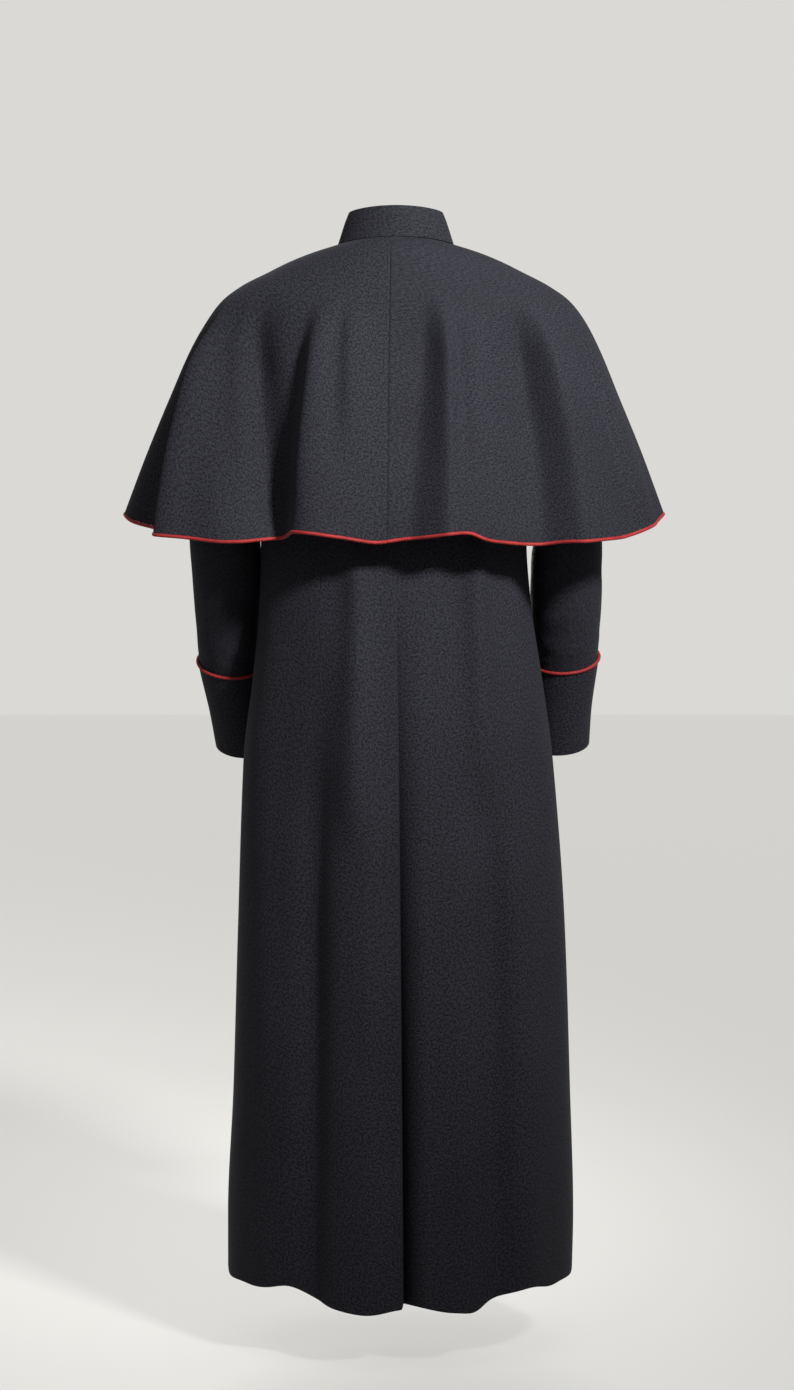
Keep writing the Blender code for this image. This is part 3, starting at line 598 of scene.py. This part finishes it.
# %% The two backs
LENGTHS = ("top", "middle", "skirt")
LEFT_LIP = np.linspace(0.0006, 0.012, 16)
RIGHT_LIP = np.linspace(0.0012, 0.044, 30)
BACK_COLUMNS = 76
pleat_line = smooth(PLEAT, "line", levels)
fold_line = degrees_at(BODY, levels, pleat_line)
left_lip = [degrees_at(BODY, levels, pleat_line + x) for x in LEFT_LIP]
right_lip = [degrees_at(BODY, levels, pleat_line - x) for x in RIGHT_LIP]
back_left = np.column_stack([fold_line, *left_lip, spread(left_lip[-1], 90 - notch, BACK_COLUMNS)[:, 1:]])
back_right = np.column_stack([fold_line, *right_lip, spread(right_lip[-1], notch - 90, BACK_COLUMNS)[:, 1:]])[:, ::-1]
for name, degrees in (("back_left", back_left), ("back_right", back_right)):
    outer, inner = panel_grids(body, rows + 0 * degrees, degrees)
    shell(name + "_cloth", outer, inner, BLACK_WOOL, [f"{name}_{length}" for length in LENGTHS])

# %% The two fronts and their lap
LAP = 0.020
LAP_LIFT = WALL + 0.0005
LAP_RAMP_FROM = 0.016
LAP_RAMP_TO = 0.004
lap_columns = degrees_at(BODY, levels, -LAP, back=False)
middle = np.full(len(levels), 180.0)
front_right = np.column_stack([spread(middle - 360, lap_columns - 360, 8)[:, :-1],
                               spread(lap_columns - 360, -90 - notch, 70)])
ramp_from = degrees_at(BODY, levels, LAP_RAMP_FROM, back=False)
ramp_to = degrees_at(BODY, levels, LAP_RAMP_TO, back=False)
front_left = np.column_stack([spread(90 + notch, ramp_from, 64)[:, :-1], spread(ramp_from, ramp_to, 12)[:, :-1],
                              spread(ramp_to, middle, 4)[:, :-1], spread(middle, lap_columns, 10)])
share = (front_left - ramp_from[:, None]) / (ramp_to - ramp_from)[:, None]
lift = LAP_LIFT * eased(share)[..., None]
for name, degrees, raised in (("front_right", front_right, 0.0), ("front_left", front_left, lift)):
    outer, inner = panel_grids(body, rows + 0 * degrees, degrees, lift=raised)
    shell(name + "_cloth", outer, inner, BLACK_WOOL, [f"{name}_{length}" for length in LENGTHS])

# %% [markdown]
# # Sleeves and cuffs
# The sleeve is set into the armhole and bends forward at the elbow. Its rings start on the armhole's own edge, so the
# seam closes all the way round, and turn from upright to nearly level as they go down the arm. The cuff is a second
# layer turned back over the last thirteen centimetres, and a cord finishes its upper edge. A bent tube with a fixed
# section would be quicker, but an arm is flat at the shoulder and round at the wrist.

# %% Rings of the sleeves
SLEEVE_LEFT = (
    ("outer_x", "outer_y", "outer_z", "inner_x", "inner_y", "inner_z", "half_depth"),
    (0.2140, 0.000, -0.091, 0.2030, 0.000, -0.276, 0.074),
    (0.2420, -0.001, -0.123, 0.2010, -0.001, -0.298, 0.077),
    (0.2620, -0.004, -0.178, 0.1975, -0.004, -0.330, 0.075),
    (0.2750, -0.010, -0.250, 0.1910, -0.010, -0.372, 0.070),
    (0.2830, -0.018, -0.330, 0.1860, -0.020, -0.420, 0.065),
    (0.2860, -0.028, -0.405, 0.1845, -0.032, -0.470, 0.061),
    (0.2820, -0.042, -0.480, 0.1865, -0.048, -0.522, 0.059),
    (0.2785, -0.060, -0.542, 0.1865, -0.066, -0.560, 0.056),
    (0.2750, -0.082, -0.590, 0.1860, -0.084, -0.596, 0.053),
    (0.2615, -0.105, -0.655, 0.1760, -0.106, -0.658, 0.051),
    (0.2528, -0.124, -0.708, 0.1690, -0.125, -0.710, 0.048),
)
SLEEVE_RIGHT = (
    ("outer_x", "outer_y", "outer_z", "inner_x", "inner_y", "inner_z", "half_depth"),
    (0.2140, 0.000, -0.091, 0.2030, 0.000, -0.276, 0.074),
    (0.2420, -0.001, -0.123, 0.2010, -0.001, -0.298, 0.077),
    (0.2610, -0.004, -0.178, 0.1975, -0.004, -0.330, 0.075),
    (0.2730, -0.010, -0.250, 0.1930, -0.010, -0.372, 0.070),
    (0.2810, -0.018, -0.330, 0.1895, -0.020, -0.420, 0.065),
    (0.2850, -0.028, -0.405, 0.1875, -0.032, -0.470, 0.061),
    (0.2865, -0.042, -0.480, 0.1865, -0.048, -0.520, 0.059),
    (0.2850, -0.060, -0.540, 0.1880, -0.066, -0.556, 0.056),
    (0.2820, -0.080, -0.584, 0.1890, -0.082, -0.590, 0.053),
    (0.2740, -0.102, -0.650, 0.1860, -0.104, -0.653, 0.051),
    (0.2712, -0.121, -0.705, 0.1835, -0.122, -0.707, 0.048),
)
CUFF_FROM = 9


def sleeve_rings(table, side, phi):
    """One ring for the armhole's edge and one for each row of the table."""
    level = ARMHOLE_LEVEL + ARMHOLE_HALF_HEIGHT * np.cos(phi)
    edge = body(level, side * (90 - ARMHOLE_HALF_DEGREES * np.sin(phi)))
    inwards = edge.mean(axis=0) - edge
    inwards /= np.linalg.norm(inwards, axis=1, keepdims=True)
    rings = [edge + SEAM * inwards]
    places = np.array(table[1:])
    outer = places[:, 0:3] * (side, 1, 1)
    inner = places[:, 3:6] * (side, 1, 1)
    middle = (outer + inner) / 2
    along = np.gradient(middle, axis=0)
    for i, depth in enumerate(places[:, 6]):
        long_way = (outer[i] - inner[i]) / 2
        back_way = np.cross(along[i], long_way)
        back_way *= np.sign(back_way[1]) * depth / np.linalg.norm(back_way)
        rings.append(middle[i] + np.cos(phi)[:, None] * long_way + np.sin(phi)[:, None] * back_way)
    return np.array(rings)


def between(rings, at):
    """Rings at any place between the given ones, on a smooth curve through them."""
    slope = np.gradient(rings, axis=0)
    i = np.clip(np.floor(at).astype(int), 0, len(rings) - 2)
    t = (at - i)[:, None, None]
    rest = 1 - t
    start = (1 + 2 * t) * rest**2 * rings[i] + t * rest**2 * slope[i]
    end = t**2 * (3 - 2 * t) * rings[i + 1] - t**2 * rest * slope[i + 1]
    return start + end


# %% [markdown]
# # Wrinkles of the sleeves
# A bent sleeve gathers in short slanting wrinkles in the crook of the elbow and above the cuff. place is the ring that
# a wrinkle lies on, degrees and length say where and how far it runs round the arm, width and depth how broad and deep
# it is, and slant how far it runs down as it goes round. Both arms share one table. On one of them it is turned a
# little, so that the sleeves aren't copies of each other.

# %% Wrinkles of the sleeves
WRINKLES = (
    ("place", "degrees", "length", "width", "depth", "slant"),
    (6.3, 250.0, 55.0, 0.22, -0.0035, 0.25),
    (6.9, 265.0, 60.0, 0.20, -0.0045, -0.15),
    (7.5, 245.0, 50.0, 0.22, -0.0035, 0.20),
    (8.2, 285.0, 45.0, 0.20, -0.0025, -0.20),
    (6.6, 120.0, 50.0, 0.35, -0.0020, 0.35),
    (7.6, 80.0, 45.0, 0.30, -0.0018, -0.30),
    (8.4, 130.0, 45.0, 0.22, -0.0020, 0.22),
    (5.2, 200.0, 60.0, 0.35, -0.0030, 0.30),
    (4.2, 300.0, 60.0, 0.45, -0.0030, -0.30),
    (2.6, 180.0, 50.0, 0.35, -0.0040, 0.10),
)


def wrinkled(at, phi, turn):
    """How far small slanting wrinkles move the sleeve, with the pattern turned a little for each arm."""
    around = np.degrees(phi)[None, :] % 360
    total = np.zeros((len(at), len(phi)))
    for place, degrees, length, width, depth, slant in WRINKLES[1:]:
        away = (around - degrees - turn + 180) % 360 - 180
        off = (at[:, None] - place - slant * away / 60) / width
        total += depth * np.exp(-(off**2) - (away / length) ** 2)
    return total


# %% [markdown]
# # Both arms with one function
# The two arms are built by the same steps, so one function makes a sleeve, its cuff and its cord, and is called once
# for each side. The cuff takes the sleeve's own end rings, moved out by one seam, so it fits without being fitted. A
# mirror modifier would be shorter, but the two arms hang a little differently.

# %% Sleeves, cuffs and their cords
CUFF_CORD = 0.0022
AROUND = 97
ARMHOLE_RINGS = 12
ARM_RINGS = 100
CUFF_RINGS = 28
CALM_ABOVE_CUFF = 0.1
CALM_OVER = 0.4


def sleeve_pieces(label, table, side, turn):
    """A sleeve tube, the cuff over its end and the cord on the cuff's upper edge."""
    phi = -side * np.linspace(0, 2 * np.pi, AROUND)
    rings = sleeve_rings(table, side, phi)
    at = np.concatenate([np.linspace(0, 1, ARMHOLE_RINGS)[:-1], np.linspace(1, CUFF_FROM, ARM_RINGS)[:-1],
                         np.linspace(CUFF_FROM, len(rings) - 1, CUFF_RINGS)])
    grid = between(rings, at)
    across = np.gradient(grid, axis=1)
    across[:, 0] = across[:, -1] = grid[:, 1] - grid[:, -2]
    out = np.cross(across, np.gradient(grid, axis=0))
    out /= np.linalg.norm(out, axis=-1, keepdims=True)
    fade = eased(at - 1) * eased((CUFF_FROM - CALM_ABOVE_CUFF - at) / CALM_OVER)
    grid = grid + out * (wrinkled(at, phi, turn) * fade[:, None])[..., None]
    sleeve = shell(f"sleeve_{label}_cloth", grid, grid - out * WALL, BLACK_WOOL, ["sleeve_" + label])
    on_cuff = at >= CUFF_FROM
    over = grid[on_cuff]
    over_out = out[on_cuff]
    cuff = shell(f"cuff_{label}_cloth", over + over_out * (SEAM + WALL), over + over_out * SEAM, BLACK_WOOL,
                 ["cuff_" + label])
    up = over[0] - over[1]
    up /= np.linalg.norm(up, axis=1, keepdims=True)
    path = over[0] + over_out[0] * (2 * SEAM + CUFF_CORD) + up * (SEAM + CUFF_CORD)
    piping = cord(f"cuff_piping_{label}_cord", path[:-1], CUFF_CORD, RED_SATIN, ["cuff_piping_" + label], loop=True)
    return sleeve, cuff, piping


arms = [sleeve_pieces("left", SLEEVE_LEFT, 1, 0.0), sleeve_pieces("right", SLEEVE_RIGHT, -1, 25.0)]

# %% [markdown]
# # The shoulder cape
# The cape is cut nearly as a half circle in two halves, joined at the centre back and open in front. It lies smooth
# on the shoulders and breaks into folds below them. Its hem is not level: it lifts where a fold turns under. The same
# section tables describe it, with a fold table of its own.

# %% Sections and folds of the cape
CAPE = (
    ("level", "left", "right", "back", "front", "square", "back_up", "front_up", "ease"),
    (-0.0134, 0.0795, 0.0795, 0.0675, 0.0700, 2.0, 0.007, -0.027, 9.0),
    (-0.0240, 0.1150, 0.1150, 0.0830, 0.0850, 2.0, 0.006, -0.022, 9.0),
    (-0.0370, 0.1480, 0.1470, 0.0950, 0.0960, 2.0, 0.004, -0.016, 9.0),
    (-0.0520, 0.1780, 0.1770, 0.1050, 0.1040, 2.05, 0.002, -0.010, 9.0),
    (-0.0680, 0.2100, 0.2080, 0.1130, 0.1110, 2.05, 0.000, -0.005, 9.0),
    (-0.0900, 0.2395, 0.2390, 0.1220, 0.1190, 2.1, 0.000, 0.000, 5.0),
    (-0.1170, 0.2600, 0.2600, 0.1300, 0.1290, 2.15, 0.000, 0.000, 3.0),
    (-0.1570, 0.2830, 0.2810, 0.1390, 0.1400, 2.15, 0.000, 0.000, 1.0),
    (-0.2190, 0.3100, 0.3070, 0.1510, 0.1540, 2.1, -0.002, -0.002, 0.5),
    (-0.3020, 0.3440, 0.3410, 0.1670, 0.1700, 2.05, -0.010, -0.009, 0.25),
    (-0.3805, 0.3735, 0.3695, 0.1860, 0.1860, 2.0, -0.0335, -0.0325, 0.15),
)
CAPE_FOLDS = (
    ("degrees", "hem_degrees", "left_width", "right_width", "depth", "start", "full", "gone", "lift", "narrows"),
    (11.5, 8.5, 2.6, 5.0, 0.006, -0.090, -0.150, -0.32, 0.000, 1.0),
    (15.2, 13.0, 2.6, 2.6, -0.004, -0.090, -0.150, -0.32, 0.000, 1.0),
    (21.0, 21.0, 3.0, 9.0, 0.014, -0.085, -0.170, -9.0, 0.000, 1.0),
    (21.5, 21.5, 2.6, 9.0, 0.000, -0.200, -0.370, -9.0, 0.009, 1.0),
    (26.0, 25.5, 8.0, 3.4, -0.014, -0.085, -0.180, -9.0, 0.000, 0.8),
    (47.0, 26.0, 6.5, 10.0, -0.031, -0.070, -0.200, -0.44, 0.000, 0.6),
    (60.0, 31.0, 9.0, 11.0, -0.011, -0.065, -0.220, -0.46, 0.001, 0.6),
    (68.0, 56.0, 3.0, 8.0, 0.024, -0.075, -0.200, -9.0, -0.002, 1.0),
    (34.0, 34.0, 9.0, 6.0, 0.000, -0.200, -0.370, -9.0, -0.005, 1.0),
    (4.0, 4.0, 5.0, 4.0, 0.000, -0.200, -0.370, -9.0, -0.005, 1.0),
    (-32.0, -32.0, 12.0, 11.0, 0.000, -0.200, -0.370, -9.0, -0.006, 1.0),
    (-56.0, -56.0, 10.0, 9.0, 0.000, -0.200, -0.370, -9.0, -0.005, 1.0),
    (74.0, 65.0, 9.0, 4.0, -0.014, -0.085, -0.210, -9.0, 0.002, 1.0),
    (48.0, 42.0, 8.0, 8.0, 0.004, -0.250, -0.370, -9.0, -0.003, 1.0),
    (104.0, 108.0, 8.0, 8.0, -0.014, -0.12, -0.38, -9.0, 0.004, 1.0),
    (118.0, 123.0, 9.0, 6.0, 0.012, -0.12, -0.38, -9.0, -0.001, 1.0),
    (136.0, 141.0, 5.0, 8.0, -0.014, -0.10, -0.38, -9.0, 0.004, 1.0),
    (150.0, 156.0, 8.0, 8.0, 0.010, -0.10, -0.38, -9.0, 0.000, 1.0),
    (-7.6, -2.5, 14.0, 4.0, -0.020, -0.070, -0.180, -9.0, 0.000, 1.0),
    (-13.4, -10.8, 2.6, 2.4, 0.010, -0.080, -0.170, -9.0, 0.000, 1.0),
    (-15.8, -14.0, 1.8, 3.2, -0.004, -0.100, -0.160, -0.34, 0.000, 1.0),
    (-15.0, -15.0, 8.0, 3.2, 0.000, -0.200, -0.370, -9.0, 0.009, 1.0),
    (-20.0, -18.0, 5.0, 8.0, 0.004, -0.100, -0.200, -9.0, 0.000, 1.0),
    (-36.5, -33.0, 13.0, 4.6, -0.023, -0.070, -0.190, -9.0, -0.003, 1.0),
    (-46.5, -42.5, 3.8, 9.0, 0.015, -0.070, -0.180, -9.0, -0.003, 1.0),
    (-64.0, -59.5, 3.0, 3.0, -0.003, -0.080, -0.150, -9.0, 0.000, 1.0),
    (-69.5, -65.0, 3.5, 8.0, 0.005, -0.080, -0.200, -9.0, 0.002, 1.0),
    (-84.0, -78.0, 5.0, 8.0, -0.004, -0.10, -0.38, -9.0, -0.001, 1.0),
    (-103.0, -106.0, 8.0, 8.0, -0.013, -0.12, -0.38, -9.0, 0.004, 1.0),
    (-119.0, -122.0, 6.0, 9.0, 0.012, -0.12, -0.38, -9.0, -0.001, 1.0),
    (-135.0, -140.0, 8.0, 5.0, -0.014, -0.10, -0.38, -9.0, 0.004, 1.0),
    (-149.0, -155.0, 8.0, 8.0, 0.010, -0.10, -0.38, -9.0, 0.000, 1.0),
)


CAPE_LIFT_FROM = -0.25
CAPE_LIFT_OVER = 0.14


def cape(level, degrees):
    """The outer face of the cape, with its folds and the hem that they lift."""
    points, out = section(CAPE, level, degrees)
    points = points + out * swell(CAPE_FOLDS, CAPE[-1][0], level, degrees)[..., None]
    low = eased((CAPE_LIFT_FROM - level) / CAPE_LIFT_OVER)
    points[..., 2] += swell(CAPE_FOLDS, CAPE[-1][0], level, degrees, "lift") * low
    return points


# %% [markdown]
# # A rolled seam and the piping
# Where the two halves are sewn, each edge rolls under by about a millimetre, and its thin shadow is what makes a seam
# readable on black cloth. CAPE_SEAM_ROLL is the drop of the first three columns, and it grows in below the collar.
# The cord runs along the middle of the wall, just off its edge. A curve with a round bevel could make it too, but a
# tube of its own turns the front corner cleanly and ends flat at the centre back.

# %% The two halves and their cords
CAPE_CORD = 0.0024
CAPE_GAP_TOP = 0.007
CAPE_GAP_HEM = 0.034
CAPE_SEAM_TOP = 0.007
CAPE_SEAM_HEM = 0.0125
CAPE_SEAM_ROLL = (0.0012, 0.0007, 0.0002)
CAPE_ROLL_DEGREES = (0.0, 0.12, 0.30, 0.60)
CAPE_ROLL_END = 1.0
CAPE_ROLL_GROWS = 0.06
CAPE_SIDE_DEGREES = 88.0
CAPE_ROWS = 96
CAPE_BACK_COLUMNS = 190
CAPE_FRONT_COLUMNS = 90
PIPING_FIRST_ROW = 6


def cape_pieces():
    """Both halves of the cape, and the cord down each front edge and along the hem to the centre back."""
    level = np.linspace(CAPE[1][0], CAPE[-1][0], CAPE_ROWS)
    down = (level - level[0]) / (level[-1] - level[0])
    gap = CAPE_GAP_TOP + (CAPE_GAP_HEM - CAPE_GAP_TOP) * down
    seam = degrees_at(CAPE, level, CAPE_SEAM_TOP + (CAPE_SEAM_HEM - CAPE_SEAM_TOP) * down)
    made = []
    for side, label in ((1, "left"), (-1, "right")):
        front = degrees_at(CAPE, level, gap, back=False)
        side_line = np.full(len(level), CAPE_SIDE_DEGREES)
        start = side * seam
        roll = [start + step for step in CAPE_ROLL_DEGREES]
        back_columns = spread(start + CAPE_ROLL_END, side_line, CAPE_BACK_COLUMNS)[:, :-1]
        degrees = np.column_stack([*roll, back_columns, spread(side_line, front, CAPE_FRONT_COLUMNS)])
        if side < 0:
            degrees = -degrees[:, ::-1]
        outer, inner = panel_grids(cape, level[:, None] + 0 * degrees, degrees)
        for column, drop in enumerate(CAPE_SEAM_ROLL):
            column = column if side > 0 else -1 - column
            grown = eased(down / CAPE_ROLL_GROWS)[:, None] * drop / WALL
            outer[:, column] -= grown * (outer[:, column] - inner[:, column])
        made.append(shell(f"cape_{label}_cloth", outer, inner, BLACK_WOOL, ["cape_" + label]))
        middle = (outer + inner) / 2
        if side < 0:
            middle = middle[:, ::-1]
        away = JOIN + CAPE_CORD
        edge = middle[:, -1] - middle[:, -2]
        edge = middle[:, -1] + away * edge / np.linalg.norm(edge, axis=1, keepdims=True)
        low = middle[-1] - middle[-2]
        low = middle[-1] + away * low / np.linalg.norm(low, axis=1, keepdims=True)
        corner = edge[-1] + low[-1] - middle[-1, -1]
        path = np.concatenate([edge[PIPING_FIRST_ROW:-1], [0.5 * (edge[-1] + corner)], [0.5 * (low[-1] + corner)],
                               low[-2::-1]])
        made.append(cord(f"cape_piping_{label}_cord", path, CAPE_CORD, RED_SATIN, ["cape_piping_" + label],
                         end=(-side, 0, 0)))
    return made


cape_made = cape_pieces()

# %% [markdown]
# # The collar
# A standing band, stiffened inside, rises from the neck seam and leans in towards the neck. Its upper edge is turned,
# so it is rounded. Three sections give its lean, and the wall is thinned over the top millimetre and a half to round
# the edge. A bevel modifier could do that as well, but the grid already has rows there to bend.

# %% Collar band
COLLAR = (
    ("level", "left", "right", "back", "front", "square", "back_up", "front_up"),
    (0.0325, 0.0645, 0.0645, 0.0610, 0.0625, 2.0, 0.005, -0.022),
    (0.0200, 0.0695, 0.0695, 0.0640, 0.0655, 2.0, 0.006, -0.024),
    (-0.0125, 0.0800, 0.0800, 0.0680, 0.0700, 2.0, 0.007, -0.027),
)
COLLAR_WALL = 0.003
COLLAR_EDGE = 0.0015
COLLAR_BELOW_EDGE = 0.002
COLLAR_EDGE_THINNED = 0.92
COLLAR_RADIUS = 0.065
COLLAR_COLUMNS = 241


def collar(level, degrees):
    """The outer face of the collar."""
    return section(COLLAR, level, degrees)[0]


def collar_band():
    """The collar as one band, open by a seam's width at the centre front."""
    top, low = COLLAR[1][0], COLLAR[-1][0]
    edge = top - COLLAR_EDGE * (1 - np.cos(np.linspace(0, np.pi / 2, 6)))
    level = np.concatenate([edge, np.linspace(top - COLLAR_BELOW_EDGE, low, 26)])
    ends = np.degrees(SEAM / COLLAR_RADIUS)
    degrees = np.linspace(-180 + ends, 180 - ends, COLLAR_COLUMNS)[None, :] + 0 * level[:, None]
    grid = level[:, None] + 0 * degrees
    outer, inner = panel_grids(collar, grid, degrees, wall=COLLAR_WALL)
    bend = np.clip(1 - (top - level) / COLLAR_EDGE, 0, 1)
    thin = 0.5 * (1 - np.sqrt(1 - bend**2)) * COLLAR_EDGE_THINNED
    mixed = outer + (inner - outer) * thin[:, None, None]
    inner = inner + (outer - inner) * thin[:, None, None]
    return shell("collar_band", mixed, inner, BLACK_WOOL, ["collar"])


band = collar_band()

# %% [markdown]
# # Buttons
# Small domed buttons close the front. One profile, turned round its axis, makes a button, and a loop sets one every
# seventy-five millimetres down the lap. All of them are one mesh, because they share a shape and a finish.

# %% Button material and mesh
BUTTONS = 16
BUTTON_RADIUS = 0.007
BUTTON_THICK = 0.004
BUTTON_TOP_LEVEL = -0.088
BUTTON_STEP = 0.075


def horn(name):
    """Polished black horn with faint clouds."""
    look = bpy.data.materials.new(name)
    look.use_nodes = True
    tree = look.node_tree
    shader = tree.nodes["Principled BSDF"]
    place = node(tree, "ShaderNodeTexCoord")
    cloud = node(tree, "ShaderNodeTexNoise", Scale=180.0, Detail=4.0)
    tree.links.new(place.outputs["Object"], cloud.inputs["Vector"])
    ramp = node(tree, "ShaderNodeValToRGB")
    ramp.color_ramp.elements[0].color = (0.006, 0.006, 0.007, 1)
    ramp.color_ramp.elements[1].color = (0.022, 0.021, 0.022, 1)
    tree.links.new(cloud.outputs["Fac"], ramp.inputs["Fac"])
    tree.links.new(ramp.outputs["Color"], shader.inputs["Base Color"])
    shader.inputs["Roughness"].default_value = 0.32
    return look


def button_row():
    """Every button as one mesh, each standing on the lap of the left front."""
    profile = np.array([(0.55, 0.02), (0.95, 0.02), (1.0, 0.12), (1.0, 0.32), (0.94, 0.44), (0.86, 0.46),
                        (0.80, 0.52), (0.62, 0.76), (0.40, 0.92), (0.18, 0.99), (0.0, 1.0)])
    sides = 28
    turn = 2 * np.pi * np.arange(sides) / sides
    points = []
    faces = []
    for number in range(BUTTONS):
        level = np.array(BUTTON_TOP_LEVEL - number * BUTTON_STEP)
        straight = np.array(180.0)
        out = outward(body, level, straight)
        foot = body(level, straight) + out * (LAP_LIFT + SEAM)
        across = np.array((1.0, 0.0, 0.0))
        up = np.cross(out, across)
        up /= np.linalg.norm(up)
        spokes = np.cos(turn)[:, None] * np.cross(up, out) + np.sin(turn)[:, None] * up
        base = len(points) * sides
        for r, h in profile:
            points.append(foot + spokes * BUTTON_RADIUS * r + out * BUTTON_THICK * h)
        for i in range(len(profile) - 1):
            for j in range(sides):
                k = (j + 1) % sides
                faces.append((base + i * sides + j, base + i * sides + k, base + (i + 1) * sides + k,
                              base + (i + 1) * sides + j))
    mesh = bpy.data.meshes.new("front_buttons")
    mesh.from_pydata(np.concatenate(points).tolist(), [], faces)
    mesh.polygons.foreach_set("use_smooth", np.ones(len(mesh.polygons), bool))
    mesh.materials.append(horn("black_horn"))
    piece = bpy.data.objects.new("front_buttons", mesh)
    bpy.context.scene.collection.objects.link(piece)
    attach(piece, "root")
    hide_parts(*[f"button_{i + 1:02d}" for i in range(BUTTONS)])
    print("buttons", BUTTONS)
    return piece


buttons = button_row()
